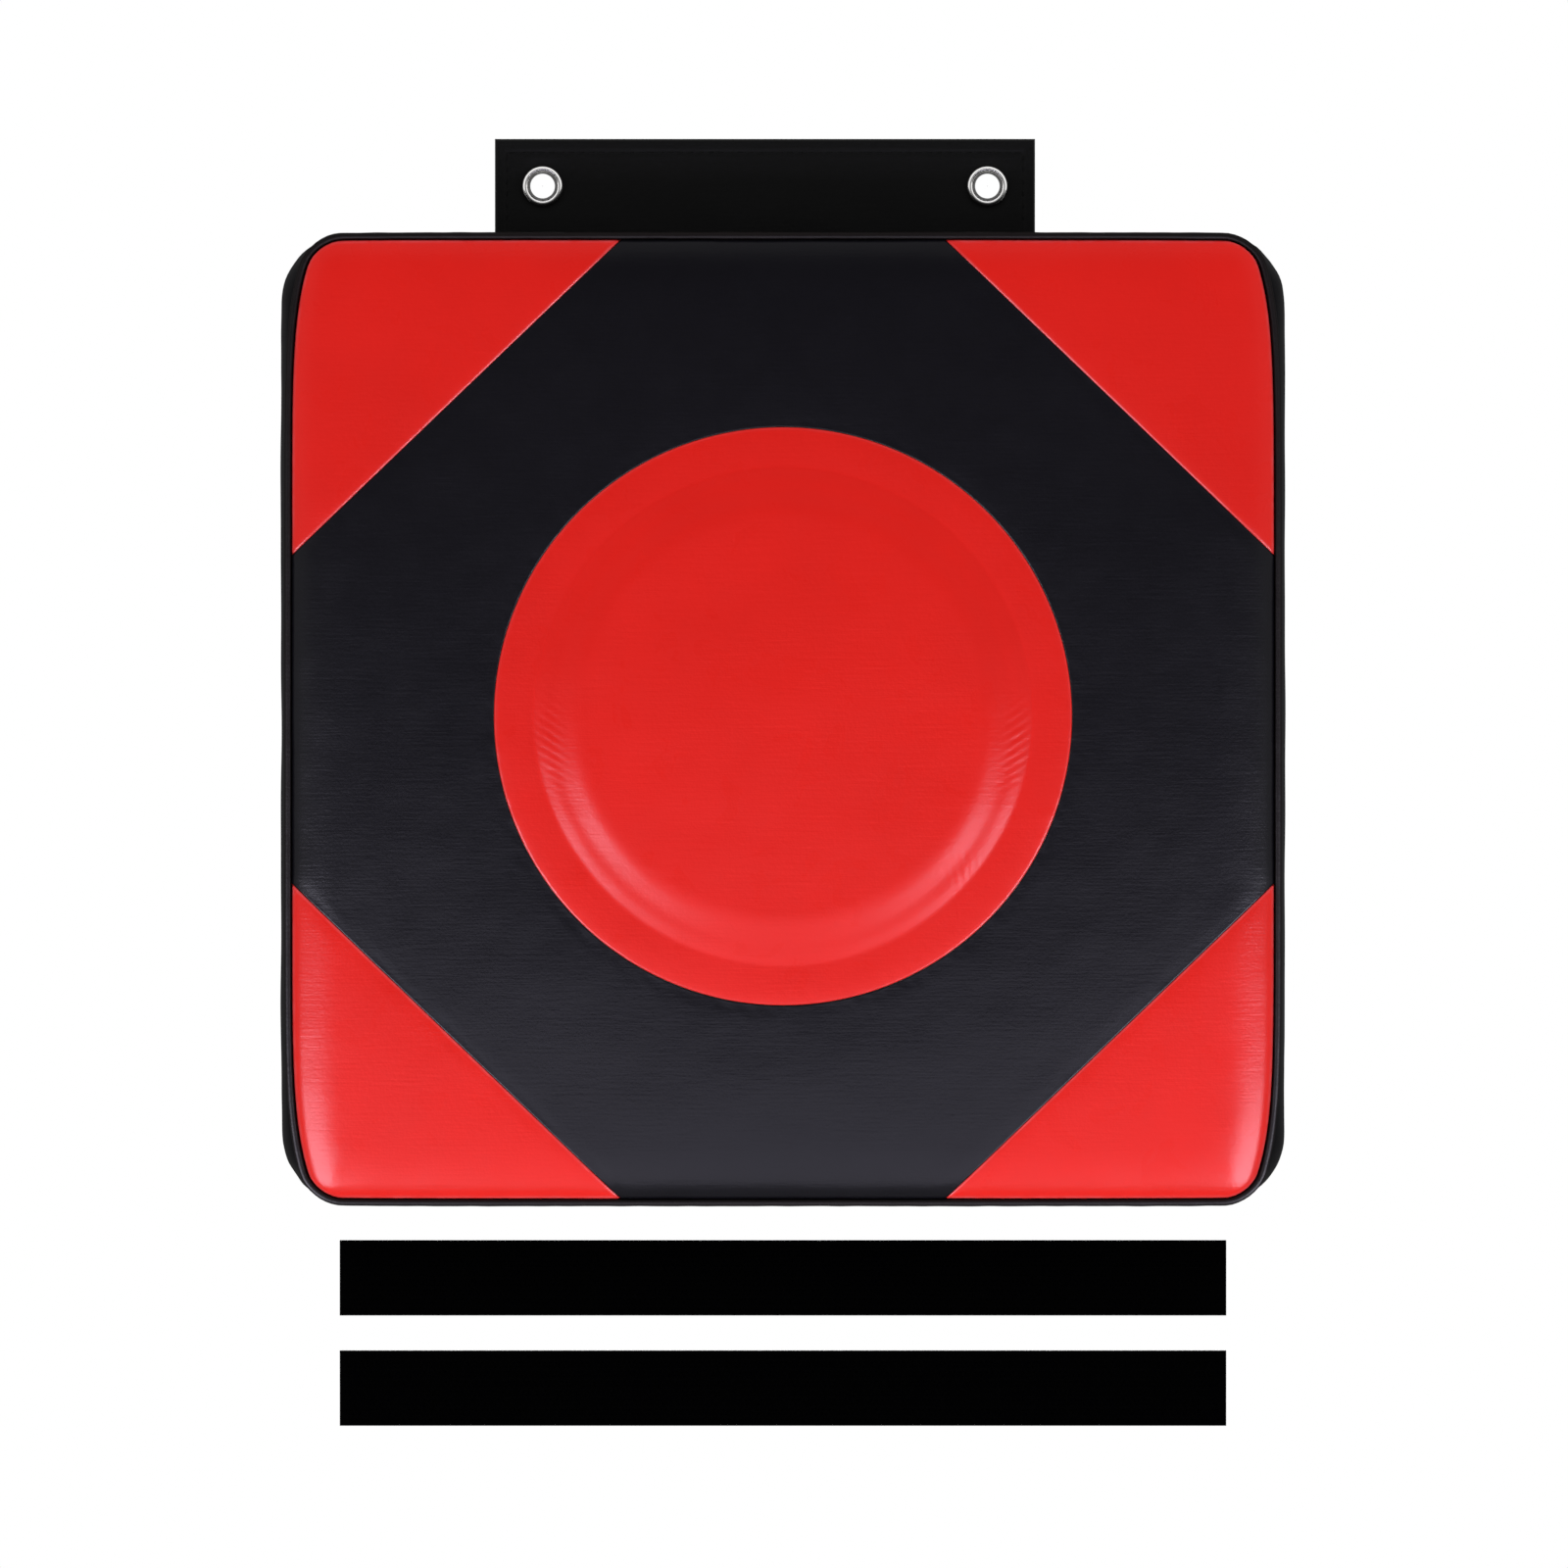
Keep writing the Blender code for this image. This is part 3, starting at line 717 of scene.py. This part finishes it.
def make_target():
    """The target: flat border, then up the foot, side and shoulder of the disc to its slight dome."""
    rim, foot = TARGET_RADIUS - SEAM_SPLIT, 0.106
    top, side = np.linspace(0.0005, 0.070, 24)[:-1], np.linspace(0.070, foot, 60)[:-1]
    radii = np.concatenate((top, side, foot + (rim - foot) * two_sided(13, 1.6)))[:, None]
    theta = np.linspace(0, 2 * pi, 680, endpoint=False)
    x, z = radii * np.cos(theta), radii * np.sin(theta) + TARGET_Z
    push = np.repeat(push_at(x[:, ::2], z[:, ::2]), 2, axis=1)
    push = (push + np.roll(push, -1, axis=1)) / 2
    own = rim - np.broadcast_to(radii, x.shape)
    border = face_height(x, z, push) + RED_PROUD * quarter_round(own, 4 * LIP_WIDTH) - lip(own, TARGET_LIP)
    h = border + disc_rise(rim - own) + puckers(x, z)
    # The target's paled edge, weaker: wear and a painted highlight.
    wear_and_sheen = TARGET_WEAR_SHEEN * edge_wear_and_sheen(own)
    obj = loft("cover_red_target", on_face(x, h, z), closed=True, facing=(0, -1, 0), wear_and_sheen=wear_and_sheen)
    edit(obj.data, close_pinhole)
    thicken(obj)
    placed(obj, "pad", RED, "red_leather", "red_target_panel")
    return obj


def make_side_band():
    """The side band, pushed out by the cloth and gathered a little round the corners."""
    outline = evenly(seam_outline(BAND_OFFSET), 0.0022)
    wide = match(outline, wide_outline())
    along = np.arange(len(outline)) * 0.0022
    turning = np.abs(outline[:, 0] / SEAM_X) ** 8 * np.abs(outline[:, 1] / SEAM_Z) ** 8
    rows = []
    for share in np.linspace(0, 1, 23):
        row = band_row(outline, wide, share)
        middle = sin(share * pi)
        out = np.column_stack((wide[:, 0] / WIDE_X, np.zeros(len(wide)), wide[:, 1] / WIDE_Z))
        out /= np.linalg.norm(out, axis=1)[:, None]
        pushed = READ_PUSH(row) * middle
        folds = 0.0005 * turning * ripple(along, np.full(len(along), share * 0.012), 0.011, 3)
        waves = 0.00022 * ripple(along, np.full(len(along), share * 0.03), 0.05, 8)
        rows.append(row + pushed * np.array((1.0, 0.0, 1.0)) + out * ((folds + waves) * middle)[:, None])
    obj = loft("cover_side_band", rows, closed=True)
    edit(obj.data, face_outward)
    thicken(obj)
    placed(obj, "pad", BLACK_SIDE, "black_side_leather", "gusset")
    return obj


def make_back():
    """The back panel: flat against the wall, easing into the back seam."""
    theta = np.linspace(0, 2 * pi, 360, endpoint=False)
    reach = outline_radius(theta)
    shares = np.concatenate((np.linspace(0.004, 0.96, 40), 1 - 0.04 * (1 - np.linspace(0, 1, 12)[1:]) ** 2))
    radii = shares[:, None] * reach
    x, z = radii * np.cos(theta), radii * np.sin(theta)
    edge = 0.0006 * (1 - quarter_round(inside_outline(x, z), 0.004))
    h = BACK_H + 0.00002 + edge + 0.00008 * (1 + ripple(x, z, 0.06, 12))
    obj = loft("cover_back", on_face(x, h, z), closed=True, facing=(0, 1, 0))
    edit(obj.data, close_pinhole)
    thicken(obj)
    return placed(obj, "pad", BLACK_BACK, "black_back_leather", "back_panel")


def make_piping():
    made = []
    for name, h in (("front", FRONT_PIPING_H), ("back", BACK_PIPING_H)):
        line = evenly(seam_outline(PIPING_OFFSET), 0.0024)
        along = np.arange(len(line)) * 0.0024
        wander = 0.00012 * ripple(along, along * 0, 0.04, 17)
        radii = PIPING_RADIUS * (1 + 0.05 * ripple(along, along * 0, 0.013, 18))
        path = on_face(line[:, 0], h + wander, line[:, 1])
        obj = tube("cover_piping_" + name, path, radii, 12)
        made.append(placed(obj, "pad", BLACK_PIPING, "black_piping", name + "_piping"))
    return made


# ---- stitches
def strands(name, rods):
    """One mesh of many short rods, each an array of rings of points, closed at its ends."""
    faces, first = [], 0
    for rod in rods:
        rings, sides = rod.shape[:2]
        index = first + np.arange(rings * sides).reshape(rings, sides)
        after = np.roll(index, -1, axis=1)
        faces += np.stack((index[:-1], after[:-1], after[1:], index[1:]), axis=-1).reshape(-1, 4).tolist()
        faces += [index[0, ::-1].tolist(), index[-1].tolist()]
        first += rings * sides
    mesh = bpy.data.meshes.new(name)
    mesh.from_pydata(np.concatenate([rod.reshape(-1, 3) for rod in rods]).tolist(), [], faces)
    edit(mesh, face_outward)
    return new_object(name, mesh)


def stitches(name, lines, towards, body):
    """Rows of sewing stitches along lines of points, lying on a surface that faces a direction."""
    normal = np.array(towards, dtype=float)
    arch = np.sin(pi * np.linspace(0, 1, 6))[:, None]
    angles = np.linspace(0, 2 * pi, 6, endpoint=False)
    rods = []
    for line in lines:
        spots = evenly(line, STITCH_LENGTH + STITCH_GAP, closed=False)
        for start, end in zip(spots, spots[1:]):
            way = (end - start) / np.linalg.norm(end - start)
            along = STITCH_GAP / 2 + STITCH_LENGTH * np.linspace(0, 1, len(arch))[:, None]
            height = STITCH_WIDTH * (STITCH_LIFT * arch - STITCH_SINK * (1 - arch))
            middle = start + way * along + normal * height
            radius = STITCH_WIDTH / 2 * (0.45 + 0.55 * np.maximum(arch, 0) ** 0.5)
            spokes = np.cos(angles)[:, None] * np.cross(way, normal) + np.sin(angles)[:, None] * normal
            rods.append(middle[:, None, :] + radius[:, :, None] * spokes)
    return placed(strands(name, rods), body, THREAD, "black_flap_leather")


# ---- flap and eyelets
FLAP_LOW, FLAP_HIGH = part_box("flap_upper")
TAB_LOW, TAB_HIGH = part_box("flap_tab")
FLAP_X = (FLAP_LOW.x + FLAP_HIGH.x) / 2
FLAP_HALF = (FLAP_HIGH.x - FLAP_LOW.x) / 2
FLAP_FRONT_H, FLAP_BACK_H = -FLAP_LOW.y, -FLAP_HIGH.y
HEM_TOP, HEM_SIDE = 0.0054, 0.0047
EYELETS = {side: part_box("grommet_" + side) for side in ("left", "right")}
EYELET_X = {side: (low.x + high.x) / 2 for side, (low, high) in EYELETS.items()}
EYELET_HOLE, EYELET_BARREL, EYELET_FLANGE = 0.0049, 0.0056, 0.0082


def flap_surface(x, z, front):
    """Height of the flap's front or back surface: a folded hem, a groove at its stitches, soft waves."""
    from_side, from_top = FLAP_HALF - np.abs(x - FLAP_X), FLAP_HIGH.z - z
    from_edge = np.minimum(from_side, from_top)
    past_hem = np.minimum(from_side - HEM_SIDE, from_top - HEM_TOP)
    middle = (FLAP_FRONT_H + FLAP_BACK_H) / 2
    half = (FLAP_FRONT_H - FLAP_BACK_H) / 2
    rounding = half * (1 - 0.75 * quarter_round(np.maximum(from_edge, 0), 0.0012) - 0.25)
    groove = 0.00028 * np.exp(-((past_hem / 0.0009) ** 2))
    inside = 0.00022 * np.clip(past_hem / 0.003, 0, 1)
    eyelet = np.min([np.hypot(x - at, z) for at in EYELET_X.values()], axis=0)
    pressed = 0.0003 * np.exp(-(((eyelet - EYELET_FLANGE) / 0.0022) ** 2))
    waves = 0.0001 * ripple(x, z * 2, 0.045, 31)
    thick = half - np.clip(rounding, 0, half * 0.8) - groove - inside - pressed
    return middle + (thick + waves if front else -thick + waves * 0.3)


def make_flap():
    """The flap as one sheet from its top edge, over the fold, down to where it is sewn to the back."""
    shares = two_sided(150, 1.9)
    x = FLAP_X - FLAP_HALF + 2 * FLAP_HALF * shares
    upper = FLAP_HIGH.z - (FLAP_HIGH.z - FLAP_LOW.z) * (1 - np.cos(np.linspace(0, pi / 2, 34)))
    fold = np.linspace(FLAP_LOW.z, TAB_HIGH.z, 12)
    z = np.concatenate((upper[:-1], fold[:-1], np.linspace(TAB_HIGH.z, TAB_LOW.z, 16)))
    x, z = np.meshgrid(x, z)
    front, back = (np.stack((x, -flap_surface(x, z, side), z), axis=-1) for side in (True, False))
    obj = loft("flap_sheet", np.concatenate((front, back[:, ::-1]), axis=1), closed=True)
    edit(obj.data, close_holes, face_outward)
    bpy.context.view_layer.objects.active = obj
    bore = EYELET_BARREL + 0.0002
    for side, x in EYELET_X.items():
        profile = (bore, 0.012), (bore, -0.004), (0.0001, -0.004), (0.0001, 0.012)
        cutter = turned("bore_" + side, profile, x, 48)
        edit(cutter.data, close_holes, face_outward)
        cut = obj.modifiers.new("bore", "BOOLEAN")
        cut.operation = "DIFFERENCE"
        cut.object = cutter
        bpy.ops.object.modifier_apply(modifier=cut.name)
        bpy.data.objects.remove(cutter, do_unlink=True)
    obj.data.shade_smooth()
    obj.data.set_sharp_from_angle(angle=radians(40))
    placed(obj, None, BLACK_FLAP, "black_flap_leather", "flap_upper", "flap_tab")
    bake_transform(obj)
    make_flap_stitches()


def make_flap_stitches():
    left, right = FLAP_X - FLAP_HALF + HEM_SIDE, FLAP_X + FLAP_HALF - HEM_SIDE
    top, low = FLAP_HIGH.z - HEM_TOP, FLAP_LOW.z + 0.001
    for front in (True, False):
        lines = []
        for start, end, last_z in ((left, right, top), (left, left, low), (right, right, low)):
            x, z = np.linspace(start, end, 120), np.linspace(top, last_z, 120)
            lines.append(np.column_stack((x, -flap_surface(x, z, front), z)))
        name = "stitches_flap_" + ("front" if front else "back")
        stitches(name, lines, (0, -1, 0) if front else (0, 1, 0), "hanging_flap")
    lines, x = [], np.linspace(left, right, 160)
    for above_end in (0.003, 0.0095):
        z = np.full_like(x, TAB_LOW.z + above_end)
        lines.append(np.column_stack((x, -flap_surface(x, z, False), z)))
    stitches("stitches_flap_tab", lines, (0, 1, 0), "pad")


def eyelet_section():
    """A flange sloping out from its ridge, a funnel into the barrel, and the barrel's end at the back."""
    crown_h, seat_h = -EYELETS["left"][0].y, FLAP_FRONT_H + 0.0001
    slope = [(0.0082, 0.00), (0.0081, 0.30), (0.0078, 0.62), (0.0074, 0.86), (0.0070, 0.97), (0.0067, 1.0)]
    funnel = [(0.0064, 0.92), (0.0060, 0.66), (0.0056, 0.28), (0.0052, -0.25), (0.0050, -1.0)]
    front = [(radius, seat_h + (crown_h - seat_h) * share) for radius, share in slope + funnel]
    back = [(EYELET_HOLE, 0.0012), (EYELET_HOLE + 0.0001, 0.0006), (EYELET_HOLE + 0.0004, 0.0003)]
    return front + back + [(EYELET_BARREL, 0.0003), (EYELET_BARREL, seat_h)]


def washer_section():
    """A dished washer with a rounded rim."""
    low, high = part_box("grommet_washer_left")
    top, inner = -low.y, EYELET_BARREL + 0.0001
    rim = EYELET_FLANGE
    dish = [(rim, 0.0005), (rim - 0.0002, 0.0002), (rim - 0.0008, 0.0), (inner + 0.0006, 0.0)]
    return dish + [(inner, 0.0003), (inner, top), (rim - 0.0003, top), (rim, top - 0.0003)]


def make_eyelets():
    made = []
    for side, x in EYELET_X.items():
        eyelet = turned("eyelet_" + side, eyelet_section(), x, 96)
        placed(eyelet, "hanging_flap", NICKEL, "eyelet_metal", "grommet_" + side)
        washer = turned("eyelet_washer_" + side, washer_section(), x, 96)
        placed(washer, "hanging_flap", NICKEL, "eyelet_metal", "grommet_washer_" + side)
        made += [eyelet, washer]
    return made


# ---- tapes
TAPE_CELL, TAPE_SEAM = 0.0011, 0.0022  # how fine the surfaces are, and how far in they are sewn
HOOK_PITCH_X, HOOK_PITCH_Z, HOOK_MARGIN, HOOK_HALF = 0.0021, 0.0019, 0.0024, 0.00017
# One hook's points, along and out: up a stalk and over.
HOOK_SHAPE = ((0.0, 0.0), (0.0, 0.00042), (0.00008, 0.00072), (0.00028, 0.00088), (0.00050, 0.00078))


def tape_grid(name, low, high, relief, flat_y):
    """A tape as a dense slab: one relief surface, a flat one and closed edges."""
    x = np.linspace(low.x, high.x, int((high.x - low.x) / TAPE_CELL))
    z = np.linspace(low.z, high.z, int((high.z - low.z) / TAPE_CELL))
    x, z = np.meshgrid(x, z)
    from_edge = np.minimum(np.minimum(x - low.x, high.x - x), np.minimum(z - low.z, high.z - z))
    front = np.stack((x, relief(x, z, from_edge), z), axis=-1)
    back = np.stack((x, np.full_like(x, flat_y), z), axis=-1)
    obj = loft(name, np.concatenate((front, back[:, ::-1]), axis=1), closed=True)
    edit(obj.data, close_holes, face_outward)
    obj.data.set_sharp_from_angle(angle=radians(55))
    return obj


def make_loop_tapes():
    """Fuzzy loop tapes, sewn to the back round their edges."""
    for place in ("upper", "lower"):
        low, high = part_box("loop_tape_" + place)
        rng = np.random.default_rng(41 if place == "upper" else 43)

        def pile(x, z, from_edge):
            tufts = rng.uniform(0, 0.00028, x.shape) + 0.00008 * ripple(x, z, 0.008, 44)
            field = np.clip((from_edge - 0.0012) / 0.0012, 0, 1)
            return high.y - 0.00045 + field * tufts

        obj = tape_grid("loop_pile_" + place, low, high, pile, low.y)
        placed(obj, "pad", LOOP, "loop_tape", "loop_tape_" + place)
        left, right = low.x + TAPE_SEAM, high.x - TAPE_SEAM
        foot, head = low.z + TAPE_SEAM, high.z - TAPE_SEAM
        around = (left, foot), (right, foot), (right, head), (left, head)
        corners = [(x, high.y - 0.00025, z) for x, z in around]
        stitches("stitches_loop_" + place, zip(corners, corners[1:] + corners[:1]), (0, 1, 0), "pad")


def make_hook_strips():
    """Each strip: woven ground with selvedges, and rows of small hooks standing out of it."""
    for place in ("upper", "lower"):
        low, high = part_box("hook_strip_" + place)
        ground = low.y + 0.00072

        def weave(x, z, from_edge):
            ridges = 0.00003 * np.sin(2 * pi * z / 0.0021)
            edge = 0.00012 * (1 - quarter_round(from_edge, 0.0006))
            return ground + edge + ridges

        tape = tape_grid("hook_ground_" + place, low, high, weave, high.y)
        body = place + "_hook_strip"
        placed(tape, body, HOOK_BASE, "hook_tape", "hook_strip_" + place)
        field = hook_field("hooks_" + place, low, high, ground, seed=51 if place == "upper" else 53)
        placed(field, body, HOOK, "hook_tape")
        coat(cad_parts["strip_adhesive_" + place], adhesive("adhesive_" + place))


def hook_field(name, low, high, ground, seed):
    """Rows of hooks that bend up and down by turns, each a square rod up a stalk and over."""
    rng = np.random.default_rng(seed)
    along, out = np.array(HOOK_SHAPE).T
    half = HOOK_HALF * np.where(out < 0.0008, 1.0, 0.8)
    square = np.array(((-1, 0, -1), (1, 0, -1), (1, 0, 1), (-1, 0, 1)))
    rods = []
    for row, z in enumerate(np.arange(low.z + HOOK_MARGIN, high.z - HOOK_MARGIN, HOOK_PITCH_Z)):
        shift = row % 2 * HOOK_PITCH_X / 2
        for x in np.arange(low.x + HOOK_MARGIN + shift, high.x - HOOK_MARGIN, HOOK_PITCH_X):
            base_x, base_z = x + rng.uniform(-0.0002, 0.0002), z + rng.uniform(-0.0001, 0.0001)
            stalk_x = base_x + rng.uniform(-0.25, 0.25) * out
            stalk_z = base_z + (1 if row % 2 else -1) * along
            middle = np.column_stack((stalk_x, ground - out, stalk_z))
            rods.append(middle[:, None, :] + half[:, None, None] * square)
    return strands(name, rods)


# ---- stage
VIEW_WIDTH = 0.625  # what the picture takes in across, at the pad
VIEW_CENTRE = Vector((0.0004, -0.025, -0.2383))
LENS, SENSOR = 600.0, 36.0
VIEW_TILT = radians(1.2)
FLOOR_Z = -0.95  # below the lowest softbox
FLOOR_RINGS = ((0.0, 0.0), (0.55, 0.0), (0.60, 0.002), (0.62, 0.010))  # radius and drop, to a turned-down rim
# How bright the studio is round the pad: 0 is straight in front of the wall, 0.5 beside it, 1 behind it.
SURROUNDINGS = ((0.07, 0.27), (0.18, 1.20), (0.50, 1.20), (0.62, 0.12))
SOFTBOX_TINT = (1.0, 0.97, 1.17)
LOW_FRONT_POWER, LOW_SIDE_POWER, LOW_FILL_POWER = 7.8, 17.2, 0.9
REAR_POWER = 7.5
LOW_FRONT_AT, LOW_FRONT_SIZE = Vector((0, -0.667, PAD_Z - 0.392)), (0.985, 0.596)
LOW_SIDE_AT, LOW_SIDE_SIZE = Vector((0.448, -0.400, PAD_Z - 0.362)), (0.382, 0.402)
LOW_FILL_AT, LOW_FILL_SIZE = Vector((0, -0.30, PAD_Z - 0.45)), (0.8, 0.15)
REAR_AT, REAR_SIZE = Vector((0, 0.85, PAD_Z + 0.22)), (1.1, 0.7)


def make_camera():
    data = bpy.data.cameras.new("camera")
    data.lens, data.sensor_width = LENS, SENSOR
    camera = bpy.data.objects.new("camera", data)
    distance = VIEW_WIDTH * LENS / SENSOR
    away = Vector((0, -cos(VIEW_TILT), sin(VIEW_TILT)))
    camera.location = VIEW_CENTRE + away * distance
    camera.rotation_euler = (-away).to_track_quat("-Z", "Y").to_euler()
    data.clip_end = 50
    bpy.context.scene.collection.objects.link(camera)
    bpy.context.scene.camera = camera


def area_light(name, place, aim, size, power, glossy):
    data = bpy.data.lights.new(name, "AREA")
    data.shape = "RECTANGLE"
    data.size, data.size_y = size
    data.energy = power
    data.color = SOFTBOX_TINT if glossy else (1, 1, 1)
    light = bpy.data.objects.new(name, data)
    light.location = place
    light.rotation_euler = (Vector(aim) - place).to_track_quat("-Z", "Y").to_euler()
    light.visible_camera = False
    light.visible_glossy, light.visible_diffuse = glossy, not glossy
    bpy.context.scene.collection.objects.link(light)
    return light


def make_stage():
    """Pale floor, and soft light, strongest from low in front."""
    angles = np.linspace(0, 2 * pi, 96, endpoint=False)
    x, y = np.cos(angles), np.sin(angles)
    rings = [
        np.column_stack((radius * x, radius * y - 0.02, np.full(96, FLOOR_Z - drop)))
        for radius, drop in FLOOR_RINGS
    ]
    floor = loft("floor", rings, closed=True, facing=(0, 0, 1))
    paper = (0.82, 0.82, 0.82)
    finish, tree, shader, where = material("floor_paper", paper, 0.9)
    mottle(tree, shader, noise(tree, 3, 2, where), paper, 0.976, 1.024)
    coat(floor, finish)
    bpy.context.scene.view_settings.view_transform = "Standard"
    make_world()
    return make_lights()


def make_world():
    """White to the camera. As light it is dim in front of the wall, bright beside it and dark behind."""
    world = bpy.data.worlds.new("studio")
    bpy.context.scene.world = world
    world.use_nodes = True
    tree = world.node_tree
    towards = node(tree, "ShaderNodeTexCoord").outputs["Generated"]
    depth = node(tree, "ShaderNodeSeparateXYZ", {"Vector": towards}).outputs["Y"]
    share = node(tree, "ShaderNodeMath", {0: depth, 1: 0.5, 2: 0.5}, operation="MULTIPLY_ADD")
    walls = node(tree, "ShaderNodeValToRGB", {"Fac": share.outputs["Value"]})
    brightest = max(level for _, level in SURROUNDINGS)
    stops = walls.color_ramp.elements
    stops[0].position, stops[1].position = SURROUNDINGS[0][0], SURROUNDINGS[-1][0]
    for position, _ in SURROUNDINGS[1:-1]:
        stops.new(position)
    for stop, (_, level) in zip(stops, SURROUNDINGS):
        stop.color = (level / brightest,) * 3 + (1,)
    light = tree.nodes["Background"]
    tree.links.new(walls.outputs["Color"], light.inputs["Color"])
    light.inputs["Strength"].default_value = brightest
    plain = node(tree, "ShaderNodeBackground", {"Color": (1, 1, 1, 1), "Strength": 1.0})
    seen = node(tree, "ShaderNodeLightPath").outputs["Is Camera Ray"]
    mixed = node(tree, "ShaderNodeMixShader", {0: seen, 1: light.outputs[0], 2: plain.outputs[0]})
    tree.links.new(mixed.outputs[0], tree.nodes["World Output"].inputs["Surface"])


def make_lights():
    """Softboxes that show only as highlights, and a low fill that only lights."""
    aim = Vector((0, -0.05, PAD_Z))
    softboxes = [area_light("low_front", LOW_FRONT_AT, aim, LOW_FRONT_SIZE, LOW_FRONT_POWER, glossy=True)]
    for side in (-1, 1):
        place = LOW_SIDE_AT * Vector((side, 1, 1))
        softboxes.append(area_light("low_side", place, aim, LOW_SIDE_SIZE, LOW_SIDE_POWER, glossy=True))
    area_light("low_fill", LOW_FILL_AT, aim, LOW_FILL_SIZE, LOW_FILL_POWER, glossy=False)
    return softboxes


def light_the_back(*fronts):
    """A softbox behind, for the back alone, kept off the pieces that show in front."""
    rear = area_light("rear", REAR_AT, (0, 0, PAD_Z), REAR_SIZE, REAR_POWER, glossy=True)
    rear.visible_diffuse = True
    rear.data.color = (1, 1, 1)
    shield([rear], *fronts)


def shield(lights, *pieces):
    """Keeps lights off pieces, which would otherwise flare white when the pad swings up close to them."""
    shielded = bpy.data.collections.new("shielded")
    for piece in pieces:
        shielded.objects.link(piece)
    for linked in shielded.collection_objects:
        linked.light_linking.link_state = "EXCLUDE"
    for light in lights:
        light.light_linking.receiver_collection = shielded


def improve_foams():
    """The CAD's foam pieces stay inside the cover, with foam's own look."""
    grey, cream = (0.16, 0.16, 0.17), (0.72, 0.70, 0.62)
    for name, colour in (("base_foam", grey), ("face_foam", cream), ("target_foam_disc", cream)):
        coat(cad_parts[name], foam(name + "_cells", colour))


make_camera()
softboxes = make_stage()
face = [*make_corner_panels(), make_black_panel(), make_target()]
side_band = make_side_band()
shield(softboxes, side_band, make_back())
piping = make_piping()
make_flap()
light_the_back(side_band, *face, *piping, *make_eyelets())
make_loop_tapes()
make_hook_strips()
improve_foams()
